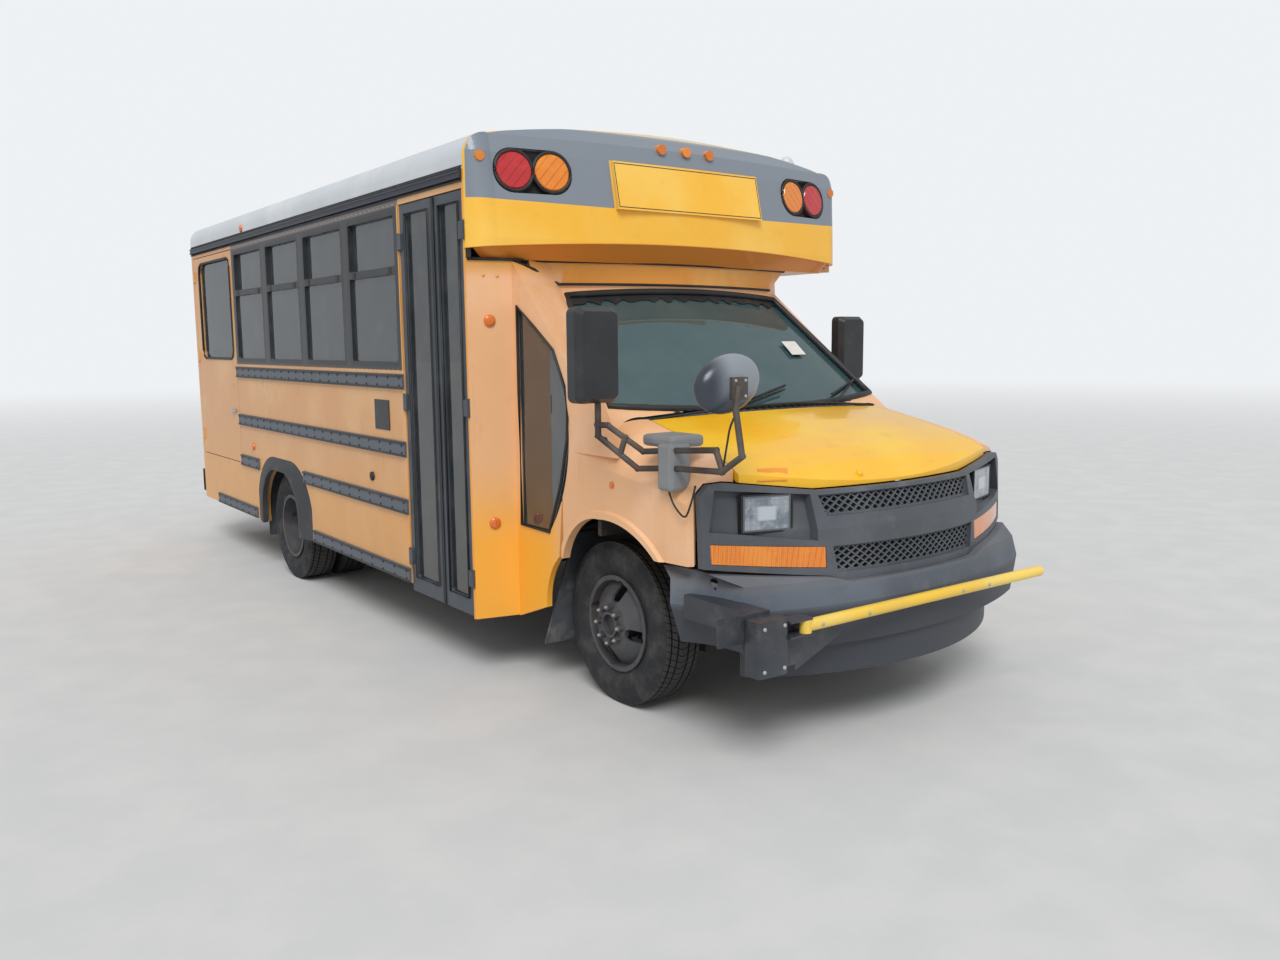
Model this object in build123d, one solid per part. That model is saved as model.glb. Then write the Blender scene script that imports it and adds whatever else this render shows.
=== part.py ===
from build123d import *
import math
import os

os.makedirs("parts", exist_ok=True)

# A short school bus: a wide passenger body on a cutaway van chassis.
# While the parts are drawn, Y is measured rearwards from the front axle, X to the
# driver's side, Z up from the ground. Each part is moved at the end so that the
# origin is the middle of the whole bus on the ground. Millimetres.

# Overall
WHEELBASE = 3531
FRONT_REACH = 1105
REAR_REACH = 5850
BODY_W = 2438
HALF = BODY_W / 2
WALL = 40
SKIRT_Z = 347
FLOOR_Z = 750
FLOOR_T = 60
SIDE_TOP_Z = 2437
ROOF_EDGE_Z = 2590
CROWN_Z = 2700
ROOF_CORNER_R = 110
SIDE_FRONT_Y = 702
BODY_REAR_Y = 5663
DRIVER_SIDE_FRONT_Y = 1300

# Wheels
TYRE_R = 372
TYRE_W = 225
TREAD_HALF = 88
RIM_R = 203
RIM_FLANGE_R = 220
FRONT_WHEEL_X = 780
KINGPIN_X = 700
DISC_OFFSET = 110
DISC_T = 12
HUB_FLANGE_T = 12
TWIN_OUTER_X = 1080
TWIN_INNER_X = TWIN_OUTER_X - 2 * (DISC_OFFSET + DISC_T) - HUB_FLANGE_T
LUG_CIRCLE_R = 82.5
LUG_R = 15
SPINDLE_R = 26
RUN_GAP = 0.3

# Ladder frame
RAIL_X = 425
RAIL_W = 60
RAIL_H = 150
RAIL_T = 8
RAIL_TOP_Z = FLOOR_Z - FLOOR_T
RAIL_LOW_Z = RAIL_TOP_Z - RAIL_H
RAIL_OUTER_X = RAIL_X + RAIL_W / 2
RAIL_FRONT_Y = -700
RAIL_REAR_Y = 5600

# Passenger side openings
DOOR_FRONT_Y = 706
DOOR_REAR_Y = 1433
DOOR_SILL_Z = 302
DOOR_HEAD_Z = 2351
LEAF_SEAM_Y = 1033
LEAF_T = 34
DOOR_GAP = 6
LIFT_FRONT_Y = 4507
LIFT_REAR_Y = 5606
LIFT_SILL_Z = 735
LIFT_HEAD_Z = 2356
WINDOW_PITCH = 767
WINDOW_START_Y = 1440
WINDOW_POST = 70
SILL_Z = 1512
HEAD_Z = 2335
SASH_Z = 2024
ARCH_Y = WHEELBASE + 30
ARCH_HALF = 440
ARCH_TOP_Z = 765

# Cab
CAB_HALF = 1006
PANEL_T = 28
BELT_Z = 1325
GLASS_TOP_Z = 1905
CAB_TOP_Z = 2040
HOOD_GAP = 6
HOOD_T = 30
FENDER_REAR_Y = 226
DRIVER_FLOOR_X = 940


def box(x0, x1, y0, y1, z0, z1):
    """A block from its two corners."""
    return Pos((x0 + x1) / 2, (y0 + y1) / 2, (z0 + z1) / 2) * Box(x1 - x0, y1 - y0, z1 - z0)


def outline(start, *steps):
    """A closed face in two dimensions. A step is a point, or a pair of points for an arc."""
    edges = []
    here = start
    for step in steps:
        if isinstance(step[0], tuple):
            edges.append(ThreePointArc(here, step[0], step[1]))
            here = step[1]
        else:
            edges.append(Line(here, step))
            here = step
    if here != start:
        edges.append(Line(here, start))
    return make_face(edges)


def bulge(start, end, amount):
    """The middle point of an arc from start to end that stands out to the left by amount."""
    dx, dy = end[0] - start[0], end[1] - start[1]
    length = math.hypot(dx, dy)
    return (start[0] + dx / 2 - dy / length * amount, start[1] + dy / 2 + dx / length * amount)


def front_plane(y):
    """A plane across the bus at y, whose points are (X, Z)."""
    return Plane(origin=(0, y, 0), x_dir=(1, 0, 0), z_dir=(0, -1, 0))


def along_x(face, x0, x1):
    """Push a face of (Y, Z) points from x0 to x1."""
    return extrude(Plane.YZ.offset(x0) * face, x1 - x0)


def along_y(face, y0, y1):
    """Push a face of (X, Z) points from y0 to y1."""
    return extrude(front_plane(y0) * face, -(y1 - y0))


def along_z(face, z0, z1):
    """Push a face of (X, Y) points from z0 to z1."""
    return extrude(Plane.XY.offset(z0) * face, z1 - z0)


def rod(start, end, radius):
    """A round bar between two points."""
    direction = Vector(*end) - Vector(*start)
    plane = Plane(origin=start, z_dir=direction)
    return extrude(plane * Circle(radius), direction.length)


def tube_run(points, radius):
    """Round bars through the points, each a little longer than its span so that they join at the bends."""
    parts = []
    for a, b in zip(points[:-1], points[1:]):
        reach = (Vector(*b) - Vector(*a)).normalized() * radius * 0.7
        parts.append(rod(tuple(Vector(*a) - reach), tuple(Vector(*b) + reach), radius))
    return parts


def spin_x(face, y, z):
    """Revolve a face of (X, radius) points about the axle line through (y, z)."""
    return Pos(0, y, z) * revolve(Plane.XZ * face, Axis.X)


def both_sides(part):
    """The part and its mirror image on the other side of the bus."""
    return [part, mirror(part, Plane.YZ)]


def fuse(items):
    """One solid from pieces that overlap or touch."""
    items = list(items)
    return items[0].fuse(*items[1:]) if len(items) > 1 else items[0]


def biggest(part):
    """The largest of the solids in a part, without the crumbs of a cut."""
    return part.solids().sort_by(SortBy.VOLUME)[-1]


MID_Y = (REAR_REACH - FRONT_REACH) / 2
made = {}


def keep(name, *solids):
    """Store a node's solids under its name."""
    made[name] = list(solids)


# Wheels
BEAD_HALF = 82
BULGE_R = RIM_R + 85


def tyre(x, y):
    """A tyre from bead to bead, with a flat tread between sloped shoulders."""
    half = TYRE_W / 2
    side = ((BEAD_HALF, RIM_R + 4), (BEAD_HALF + 2, RIM_R + 24), (half, BULGE_R), (half - 8, TYRE_R - 36), (TREAD_HALF, TYRE_R))
    points = [(x - u, r) for u, r in side] + [(x + u, r) for u, r in reversed(side)]
    return spin_x(outline(*points), y, TYRE_R)


HAND_HOLES = 4
HAND_HOLE_R = 155
HAND_HOLE_TILT = 12
HUB_BORE_R = 56


def rim(x, side, y):
    """A steel disc wheel whose hub face stands DISC_OFFSET towards side, with slots through its disc."""
    inner, outer = DISC_OFFSET, DISC_OFFSET + DISC_T
    profile = (
        (-95, RIM_FLANGE_R), (-95, RIM_R - 4), (45, RIM_R - 12), (100, 122), (inner, 108), (inner, HUB_BORE_R),
        (outer, HUB_BORE_R), (outer, 110), (113, 126), (60, RIM_R - 10), (95, RIM_R - 4), (95, RIM_FLANGE_R),
        (88, RIM_FLANGE_R), (84, RIM_R + 3.5), (-84, RIM_R + 3.5), (-88, RIM_FLANGE_R),
    )
    wheel = spin_x(outline(*[(x + side * u, r) for u, r in profile]), y, TYRE_R)
    slot = Rot(0, 90, 0) * extrude(SlotCenterToCenter(46, 56), 120, both=True)
    for i in range(HAND_HOLES):
        turn = Rot(HAND_HOLE_TILT + 360 / HAND_HOLES * i, 0, 0)
        wheel -= Pos(x + side * 90, y, TYRE_R) * turn * Pos(0, 0, HAND_HOLE_R) * slot
    return wheel


def lugs(x0, x1, y):
    """Eight wheel nuts on their circle."""
    return [
        Pos((x0 + x1) / 2, y, TYRE_R) * Rot(45 * i, 0, 0) * Pos(0, 0, LUG_CIRCLE_R) * Rot(0, 90, 0)
        * extrude(RegularPolygon(LUG_R, 6), (x1 - x0) / 2, both=True)
        for i in range(8)
    ]


FRONT_DISC_X = FRONT_WHEEL_X + DISC_OFFSET
COLLAR_R = 58
COLLAR_OUT = 14
SPINDLE_END_X = FRONT_DISC_X - 20
front_hub = spin_x(outline(
    (KINGPIN_X + 50, SPINDLE_R + RUN_GAP), (KINGPIN_X + 50, 75), (FRONT_DISC_X - HUB_FLANGE_T, 75),
    (FRONT_DISC_X - HUB_FLANGE_T, 105), (FRONT_DISC_X, 105), (FRONT_DISC_X, COLLAR_R),
    (FRONT_DISC_X + DISC_T + COLLAR_OUT, COLLAR_R), (FRONT_DISC_X + DISC_T + COLLAR_OUT, COLLAR_R - 11),
    (FRONT_DISC_X, COLLAR_R - 11), (FRONT_DISC_X, 0), (SPINDLE_END_X + 8, 0), (SPINDLE_END_X + 8, SPINDLE_R + RUN_GAP),
), 0, TYRE_R)
front_rim = rim(FRONT_WHEEL_X, 1, 0)
NUT_X = FRONT_DISC_X + DISC_T
front_wheel = fuse([front_rim, front_hub] + lugs(NUT_X - 1, NUT_X + 24, 0))
front_tyre = tyre(FRONT_WHEEL_X, 0)
keep("front_wheel_left", front_wheel)
keep("front_wheel_right", mirror(front_wheel, Plane.YZ))
keep("front_tyre_left", front_tyre)
keep("front_tyre_right", mirror(front_tyre, Plane.YZ))

# The twin wheels' discs meet on both sides of one hub flange.
FLANGE_X0 = TWIN_INNER_X + DISC_OFFSET + DISC_T
FLANGE_X1 = FLANGE_X0 + HUB_FLANGE_T
TWIN_NUT_X = FLANGE_X1 + DISC_T
AXLE_TUBE_R = 55
AXLE_END_R = 46
HUB_CAP_OUT = 104
twin_hub = spin_x(outline(
    (TWIN_INNER_X + 40, AXLE_END_R + RUN_GAP), (TWIN_INNER_X + 40, HUB_BORE_R + 4), (FLANGE_X0, HUB_BORE_R + 4),
    (FLANGE_X0, 110), (FLANGE_X1, 110), (FLANGE_X1, 72), (TWIN_NUT_X + HUB_CAP_OUT - 14, 66), (TWIN_NUT_X + HUB_CAP_OUT, 56),
    (TWIN_NUT_X + HUB_CAP_OUT, 0), (TWIN_NUT_X + 20, 0), (TWIN_NUT_X + 20, AXLE_END_R + RUN_GAP),
), WHEELBASE, TYRE_R)
twin_wheels = fuse(
    [rim(TWIN_OUTER_X, -1, WHEELBASE), rim(TWIN_INNER_X, 1, WHEELBASE), twin_hub]
    + lugs(TWIN_NUT_X - 1, TWIN_NUT_X + 26, WHEELBASE))
twin_tyres = [tyre(TWIN_OUTER_X, WHEELBASE), tyre(TWIN_INNER_X, WHEELBASE)]
keep("rear_wheels_left", twin_wheels)
keep("rear_wheels_right", mirror(twin_wheels, Plane.YZ))
keep("rear_tyres_left", *twin_tyres)
keep("rear_tyres_right", *[mirror(t, Plane.YZ) for t in twin_tyres])

LOWER_ARM_Z = 240
UPPER_ARM_Z = 515
BALL_H = 22
BALL_R = 30

# Steering knuckles: an upright on the kingpin line, a spindle and a steering arm.
knuckle = fuse([
    box(KINGPIN_X - 26, KINGPIN_X + 24, -42, 42, LOWER_ARM_Z + BALL_H + RUN_GAP, UPPER_ARM_Z - BALL_H - RUN_GAP),
    rod((KINGPIN_X, 0, TYRE_R), (SPINDLE_END_X, 0, TYRE_R), SPINDLE_R),
    box(KINGPIN_X - 60, KINGPIN_X - 10, 30, 150, TYRE_R - 60, TYRE_R - 34),
])
keep("knuckle_left", knuckle)
keep("knuckle_right", mirror(knuckle, Plane.YZ))

# Front suspension: a crossbeam under the engine, and two arms a side.
ARM_INNER_X = RAIL_OUTER_X + 4
arms = []
for z, spread in ((LOWER_ARM_Z, 150), (UPPER_ARM_Z, 90)):
    for y in (-spread, spread):
        arms.append(rod((ARM_INNER_X - 20, y, z), (KINGPIN_X - 4, 0, z), 18))
    arms.append(rod((KINGPIN_X, 0, z - BALL_H), (KINGPIN_X, 0, z + BALL_H), BALL_R))
BEAM_LOW_Z = 205
BEAM_TOP_Z = 290
crossbeam = box(-ARM_INNER_X - 30, ARM_INNER_X + 30, -170, 170, BEAM_LOW_Z, BEAM_TOP_Z)
tower = box(RAIL_X - 30, ARM_INNER_X + 8, -100, 100, BEAM_TOP_Z - 4, RAIL_LOW_Z)
side_arms = fuse(arms + [tower])
keep("front_suspension", fuse([crossbeam] + both_sides(side_arms)))

# Rear axle with its leaf springs.
SPRING_X = 520
SPRING_W = 70
SPRING_REACH = 700
SPRING_T = 35
SHAFT_R = 42
SHAFT_FRONT_Y = 642.5
# The differential's housing. Rows: distance from its middle, radius.
HOUSING = ((180, 0), (165, AXLE_TUBE_R + 8), (95, 140), (45, 165))
axle_parts = [
    rod((-TWIN_INNER_X + 130, WHEELBASE, TYRE_R), (TWIN_INNER_X - 130, WHEELBASE, TYRE_R), AXLE_TUBE_R),
    rod((-TWIN_NUT_X, WHEELBASE, TYRE_R), (TWIN_NUT_X, WHEELBASE, TYRE_R), AXLE_END_R),
    spin_x(outline(*[(-x, r) for x, r in HOUSING], *[(x, r) for x, r in reversed(HOUSING)]), WHEELBASE, TYRE_R),
    rod((0, WHEELBASE, TYRE_R), (0, WHEELBASE - 260, TYRE_R + 20), 60),
]
EYE_Z = RAIL_LOW_Z - 45
SEAT_Z = TYRE_R + AXLE_TUBE_R
leaf_face = outline(
    (WHEELBASE - SPRING_REACH, EYE_Z), ((WHEELBASE, SEAT_Z), (WHEELBASE + SPRING_REACH, EYE_Z)),
    (WHEELBASE + SPRING_REACH, EYE_Z + SPRING_T),
    ((WHEELBASE, SEAT_Z + SPRING_T + 10), (WHEELBASE - SPRING_REACH, EYE_Z + SPRING_T)))
springs = both_sides(along_x(leaf_face, SPRING_X - SPRING_W / 2, SPRING_X + SPRING_W / 2))
pads = both_sides(box(
    SPRING_X - 45, SPRING_X + 45, WHEELBASE - 70, WHEELBASE + 70, TYRE_R - 20, SEAT_Z + 20))
hangers = []
for y in (WHEELBASE - SPRING_REACH + 10, WHEELBASE + SPRING_REACH - 10):
    hangers += both_sides(box(RAIL_OUTER_X, SPRING_X + 45, y - 35, y + 35, RAIL_LOW_Z - 60, RAIL_LOW_Z + 70))
driveshaft = rod((0, SHAFT_FRONT_Y, 520), (0, WHEELBASE - 240, TYRE_R + 20), SHAFT_R)
keep("rear_axle", fuse(axle_parts + springs + pads + hangers + [driveshaft]))

# Ladder frame: two channels and their crossmembers.
channel = outline(
    (RAIL_OUTER_X, RAIL_TOP_Z), (RAIL_X - RAIL_W / 2, RAIL_TOP_Z), (RAIL_X - RAIL_W / 2, RAIL_TOP_Z - RAIL_T),
    (RAIL_OUTER_X - RAIL_T, RAIL_TOP_Z - RAIL_T), (RAIL_OUTER_X - RAIL_T, RAIL_LOW_Z + RAIL_T),
    (RAIL_X - RAIL_W / 2, RAIL_LOW_Z + RAIL_T), (RAIL_X - RAIL_W / 2, RAIL_LOW_Z), (RAIL_OUTER_X, RAIL_LOW_Z))
JACK_PAD_Y = (4940, 5060)
JACK_PAD_T = 8
jack_pad = box(RAIL_X - RAIL_W / 2, RAIL_OUTER_X, *JACK_PAD_Y, RAIL_LOW_Z - JACK_PAD_T, RAIL_LOW_Z)
keep("frame_rails", *both_sides(fuse([along_y(channel, RAIL_FRONT_Y, RAIL_REAR_Y), jack_pad])))
CROSS_Y = (-660, 860, 1700, 2500, 4250, 4900, 5540)
CROSS_X = RAIL_OUTER_X - RAIL_T
CROSS_LOW_Z = RAIL_LOW_Z + RAIL_T
cross_bar = box(-CROSS_X, CROSS_X, -40, 40, CROSS_LOW_Z, RAIL_TOP_Z - RAIL_T)
keep("frame_crossmembers", *[Pos(0, y, 0) * cross_bar - driveshaft for y in CROSS_Y])

# Engine and gearbox as one plain block, with the radiator in front.
keep("engine_block", fuse([
    box(-290, 290, -610, -60, RAIL_LOW_Z - 60, 1000),
    box(-RAIL_X + RAIL_W / 2, RAIL_X - RAIL_W / 2, -380, -300, RAIL_LOW_Z - 10, RAIL_LOW_Z + 12),
    box(-170, 170, -60, SHAFT_FRONT_Y - 2.5, 430, 660),
    box(-170, 170, -690, -600, 720, 860),
    box(-400, 400, -730, -690, 700, 990),
]))

keep("fuel_tank", box(RAIL_OUTER_X, 900, 1350, 2250, 400, RAIL_TOP_Z))
EXHAUST_X = -300
EXHAUST_Z = 430
PIPE_R = 30
MUFFLER_R = 95
MUFFLER_Y = (1500, 2250)
keep("exhaust", fuse([
    rod((EXHAUST_X, 640, EXHAUST_Z), (EXHAUST_X, MUFFLER_Y[0], EXHAUST_Z), PIPE_R),
    rod((EXHAUST_X, MUFFLER_Y[0], EXHAUST_Z), (EXHAUST_X, MUFFLER_Y[1], EXHAUST_Z), MUFFLER_R),
    rod((EXHAUST_X, MUFFLER_Y[1], EXHAUST_Z), (EXHAUST_X, 2640, EXHAUST_Z), PIPE_R),
    box(EXHAUST_X - 15, EXHAUST_X + 15, 1690, 1710, EXHAUST_Z + 70, CROSS_LOW_Z),
    box(EXHAUST_X - 15, EXHAUST_X + 15, 2490, 2510, EXHAUST_Z + 10, CROSS_LOW_Z),
]))

# Floor with the entrance steps and the rear wheel boxes.
CAB_FLOOR_T = 30
floor_top = box(-HALF + WALL, HALF - WALL, SIDE_FRONT_Y + 8, BODY_REAR_Y - WALL, FLOOR_Z - FLOOR_T, FLOOR_Z)
CAB_FLOOR_HALF = 540
FIREWALL_Y = (-40, -12)
cab_floor_mid = box(-CAB_FLOOR_HALF, CAB_FLOOR_HALF, FIREWALL_Y[0], SIDE_FRONT_Y + 8, FLOOR_Z - CAB_FLOOR_T, FLOOR_Z)
cab_floor_wide = box(
    -CAB_HALF + PANEL_T, DRIVER_FLOOR_X, 440, SIDE_FRONT_Y + 8, FLOOR_Z - CAB_FLOOR_T, FLOOR_Z)
driver_door_cut = box(DRIVER_FLOOR_X, HALF, 0, DRIVER_SIDE_FRONT_Y + WALL, 0, FLOOR_Z + 1)
STEP_X = -(HALF - WALL)
STEP_FRONT_Y = DOOR_FRONT_Y + 14
STEP_REAR_Y = DOOR_REAR_Y - 8
STEP_Z = (320, 535)
STEP_DEPTH = 250
STEP_T = 18
step_cut = box(STEP_X - 1, STEP_X + 2 * STEP_DEPTH, STEP_FRONT_Y, STEP_REAR_Y, FLOOR_Z - FLOOR_T - 1, FLOOR_Z + 1)
RISER_1 = STEP_X + STEP_DEPTH
RISER_2 = STEP_X + 2 * STEP_DEPTH
steps = [
    box(STEP_X, RISER_1 + STEP_T, STEP_FRONT_Y, STEP_REAR_Y, STEP_Z[0] - STEP_T, STEP_Z[0]),
    box(RISER_1, RISER_1 + STEP_T, STEP_FRONT_Y, STEP_REAR_Y, STEP_Z[0] - STEP_T, STEP_Z[1]),
    box(RISER_1, RISER_2 + STEP_T, STEP_FRONT_Y, STEP_REAR_Y, STEP_Z[1] - STEP_T, STEP_Z[1]),
    box(RISER_2, RISER_2 + STEP_T, STEP_FRONT_Y, STEP_REAR_Y, STEP_Z[1] - STEP_T, FLOOR_Z),
    box(STEP_X, RISER_2 + STEP_T, STEP_REAR_Y - STEP_T, STEP_REAR_Y, STEP_Z[0] - STEP_T, FLOOR_Z),
]
WELL_X = 650
WELL_HALF = 405
WELL_TOP_Z = 800
WELL_T = 12
well_cut = box(WELL_X, HALF, WHEELBASE - WELL_HALF, WHEELBASE + WELL_HALF, 0, FLOOR_Z + 1)
well_space = box(WELL_X, HALF, WHEELBASE - WELL_HALF, WHEELBASE + WELL_HALF, 0, WELL_TOP_Z - WELL_T)
well_box = box(
    WELL_X - WELL_T, HALF - WALL, WHEELBASE - WELL_HALF - WELL_T, WHEELBASE + WELL_HALF + WELL_T,
    FLOOR_Z - FLOOR_T, WELL_TOP_Z) - well_space
floor = fuse([floor_top, cab_floor_mid, cab_floor_wide]) - step_cut - both_sides(well_cut) - driver_door_cut
# The wheelchair bay's floor plate lies on the floor, behind the last bench and clear of the lift.
BAY_Y = (4400, 5560)
BAY_HALF = 900
BAY_T = 3
bay_plate = box(-BAY_HALF, BAY_HALF, *BAY_Y, FLOOR_Z - 1, FLOOR_Z + BAY_T)
keep("floor", fuse([floor] + steps + both_sides(well_box) + [bay_plate]))

# Side walls


def window_span(i):
    """Front and rear edge of the i-th side window."""
    start = WINDOW_START_Y + WINDOW_PITCH * i
    return start + WINDOW_POST / 2, start + WINDOW_PITCH - WINDOW_POST / 2


def rounded(a0, a1, b0, b1, r):
    """A rectangle with rounded corners, as a face of two-dimensional points."""
    return Pos((a0 + a1) / 2, (b0 + b1) / 2) * RectangleRounded(a1 - a0, b1 - b0, r)


def arch_face(half, top, low=0, spring=480):
    """A wheel opening about ARCH_Y, with upright legs up to the height where its arcs spring."""
    y = ARCH_Y
    return outline(
        (y - half, low), (y - half, spring), ((y - half * 0.72, top - 75), (y - half * 0.3, top)),
        (y + half * 0.3, top), ((y + half * 0.72, top - 75), (y + half, spring)), (y + half, low))


def side_windows(count):
    return [rounded(*window_span(i), SILL_Z, HEAD_Z, 30) for i in range(count)]


RIGHT_WINDOWS = 4
LEFT_WINDOWS = 5
SOFFIT_T = 20
wall_arch = arch_face(ARCH_HALF, ARCH_TOP_Z)
right_face = outline(
    (DOOR_REAR_Y, SKIRT_Z), (BODY_REAR_Y, SKIRT_Z), (BODY_REAR_Y, SIDE_TOP_Z), (SIDE_FRONT_Y, SIDE_TOP_Z),
    (SIDE_FRONT_Y, DOOR_HEAD_Z), (DOOR_REAR_Y, DOOR_HEAD_Z))
lift_face = outline(
    (LIFT_FRONT_Y + 8, LIFT_SILL_Z), (LIFT_REAR_Y, LIFT_SILL_Z),
    (LIFT_REAR_Y, LIFT_HEAD_Z), (LIFT_FRONT_Y + 8, LIFT_HEAD_Z))
wall_right = along_x(right_face, -HALF, -HALF + WALL)
for face in side_windows(RIGHT_WINDOWS) + [wall_arch, lift_face]:
    wall_right -= along_x(face, -HALF - 1, -HALF + WALL + 1)
keep("side_wall_right", wall_right)

left_face = outline(
    (DRIVER_SIDE_FRONT_Y, SKIRT_Z), (BODY_REAR_Y, SKIRT_Z), (BODY_REAR_Y, SIDE_TOP_Z), (SIDE_FRONT_Y, SIDE_TOP_Z),
    (SIDE_FRONT_Y, CAB_TOP_Z), (DRIVER_SIDE_FRONT_Y, CAB_TOP_Z))
wall_left = along_x(left_face, HALF - WALL, HALF)
for face in side_windows(LEFT_WINDOWS) + [wall_arch]:
    wall_left -= along_x(face, HALF - WALL - 1, HALF + 1)

# The driver's side of the cab leans in above the belt. Points of its section: X, Z.
DOOR_TOP_Z = 1870
DOOR_FACE_X = CAB_HALF - 2
DOOR_T = 40
LEAN_X = 124
LEAN_PER_MM = LEAN_X / (DOOR_TOP_Z - BELT_Z)


def lean_x(z):
    """How far out the driver's side of the cab stands at height z."""
    return DOOR_FACE_X - max(0, z - BELT_Z) * LEAN_PER_MM


bulkhead_left = along_y(outline(
    (lean_x(SKIRT_Z), SKIRT_Z), (HALF - WALL, SKIRT_Z), (HALF - WALL, SIDE_TOP_Z), (lean_x(CAB_TOP_Z), SIDE_TOP_Z),
    (lean_x(CAB_TOP_Z), CAB_TOP_Z), (lean_x(BELT_Z), BELT_Z)), DRIVER_SIDE_FRONT_Y, DRIVER_SIDE_FRONT_Y + WALL)
soffit_left = box(
    lean_x(CAB_TOP_Z), HALF - WALL, SIDE_FRONT_Y, DRIVER_SIDE_FRONT_Y, CAB_TOP_Z, CAB_TOP_Z + SOFFIT_T)
keep("side_wall_left", fuse([wall_left, bulkhead_left, soffit_left]))

# Roof, rear wall


def body_section(inset, low_z):
    """The body's section above low_z, smaller all round by inset, as (X, Z) points."""
    w = HALF - inset
    base = outline(
        (-w, low_z), (-w, ROOF_EDGE_Z - inset), ((0, CROWN_Z - inset), (w, ROOF_EDGE_Z - inset)), (w, low_z))
    corners = [v for v in base.vertices() if v.Y > low_z + 10]
    return fillet(corners, ROOF_CORNER_R - inset / 2)


STROBE_PLACE = (950, 800)
STROBE_R = 45
STROBE_Z = (2600, 2668)
roof_solid = along_y(body_section(0, SIDE_TOP_Z), SIDE_FRONT_Y, BODY_REAR_Y)
roof_space = along_y(body_section(WALL, SIDE_TOP_Z), SIDE_FRONT_Y - 1, BODY_REAR_Y + 1)
strobe = Pos(*STROBE_PLACE) * extrude(Plane.XY.offset(STROBE_Z[0]) * Circle(STROBE_R), STROBE_Z[1] - STROBE_Z[0])
dome = Pos(STROBE_PLACE[0], STROBE_PLACE[1], STROBE_Z[1]) * Sphere(STROBE_R - 6)
keep("roof", fuse([roof_solid - roof_space, strobe, dome]))

REAR_DOOR_HALF = 440
REAR_DOOR_HEAD_Z = 2200
rear_face = outline(
    (-HALF + WALL, SKIRT_Z), (HALF - WALL, SKIRT_Z), (HALF - WALL, SIDE_TOP_Z), (-HALF + WALL, SIDE_TOP_Z))
rear_wall = fuse([
    along_y(rear_face, BODY_REAR_Y - WALL, BODY_REAR_Y),
    along_y(body_section(WALL, SIDE_TOP_Z), BODY_REAR_Y - WALL, BODY_REAR_Y)])
rear_wall -= box(-REAR_DOOR_HALF, REAR_DOOR_HALF, BODY_REAR_Y - 2 * WALL, BODY_REAR_Y + 1, FLOOR_Z, REAR_DOOR_HEAD_Z)
REAR_WINDOW = (530, 1080)
REAR_WINDOW_TOP_Z = 2150
rear_window_spans = (REAR_WINDOW, (-REAR_WINDOW[1], -REAR_WINDOW[0]))
for x0, x1 in rear_window_spans:
    rear_wall -= along_y(
        rounded(x0, x1, SILL_Z, REAR_WINDOW_TOP_Z, 40), BODY_REAR_Y - 2 * WALL, BODY_REAR_Y + 1)
keep("rear_wall", rear_wall)

# Doors on the passenger body


def leaf(y0, y1, z0, z1, glass, x_out, thick):
    """A door leaf in the passenger side and its pane. glass is (y0, y1, z0, z1, corner)."""
    panel = box(x_out, x_out + thick, y0, y1, z0, z1)
    hole = rounded(*glass)
    panel -= along_x(hole, x_out - 1, x_out + thick + 1)
    pane = along_x(hole, x_out + thick / 2 - 3, x_out + thick / 2 + 3)
    return panel, pane


HINGE_R = 6
HINGE_OUT = HINGE_R + RUN_GAP
HINGE_HALF = 45


def barrels(axis_y, towards, heights, face_x):
    """Hinge barrels on the passenger side, with straps that reach the leaf on the side given by towards."""
    parts = []
    axis_x = -HALF - HINGE_OUT
    for z in heights:
        parts.append(rod((axis_x, axis_y, z - HINGE_HALF), (axis_x, axis_y, z + HINGE_HALF), HINGE_R))
        y_far = axis_y + towards * 40
        strap = box(axis_x - HINGE_R, face_x, min(axis_y, y_far), max(axis_y, y_far), z - 40, z + 40)
        parts.append(strap - box(axis_x, 0, axis_y - 8, axis_y + 8, z - 41, z + 41))
    return parts


ENTRY_X = -HALF + 4
ENTRY_HINGES = (500, 1330, 2160)
ENTRY_GLASS_Z = (392, 2298)
entry_low_z = DOOR_SILL_Z + 8
entry_top_z = DOOR_HEAD_Z - DOOR_GAP
front_leaf, front_pane = leaf(
    DOOR_FRONT_Y + DOOR_GAP, LEAF_SEAM_Y - 3, entry_low_z, entry_top_z,
    (DOOR_FRONT_Y + DOOR_GAP + 52, LEAF_SEAM_Y - 60, *ENTRY_GLASS_Z, 20), ENTRY_X, LEAF_T)
rear_leaf, rear_pane = leaf(
    LEAF_SEAM_Y + 3, DOOR_REAR_Y - DOOR_GAP, entry_low_z, entry_top_z,
    (LEAF_SEAM_Y + 60, DOOR_REAR_Y - DOOR_GAP - 60, *ENTRY_GLASS_Z, 20), ENTRY_X, LEAF_T)
keep("entrance_leaf_front", fuse([front_leaf] + barrels(DOOR_FRONT_Y - 6, 1, ENTRY_HINGES, ENTRY_X)))
keep("entrance_leaf_rear", fuse([rear_leaf] + barrels(DOOR_REAR_Y, -1, ENTRY_HINGES, ENTRY_X)))
keep("entrance_glass_front", front_pane)
keep("entrance_glass_rear", rear_pane)

LIFT_WINDOW = (4570, 5450, 1535, 2300, 70)
lift_door, lift_pane = leaf(
    LIFT_FRONT_Y + 8 + DOOR_GAP, LIFT_REAR_Y - DOOR_GAP, LIFT_SILL_Z + DOOR_GAP, LIFT_HEAD_Z - DOOR_GAP,
    LIFT_WINDOW, -HALF, WALL)
keep("lift_door", fuse([lift_door] + barrels(LIFT_REAR_Y, -1, (900, 1550, 2200), -HALF)))
keep("lift_door_glass", lift_pane)

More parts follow.
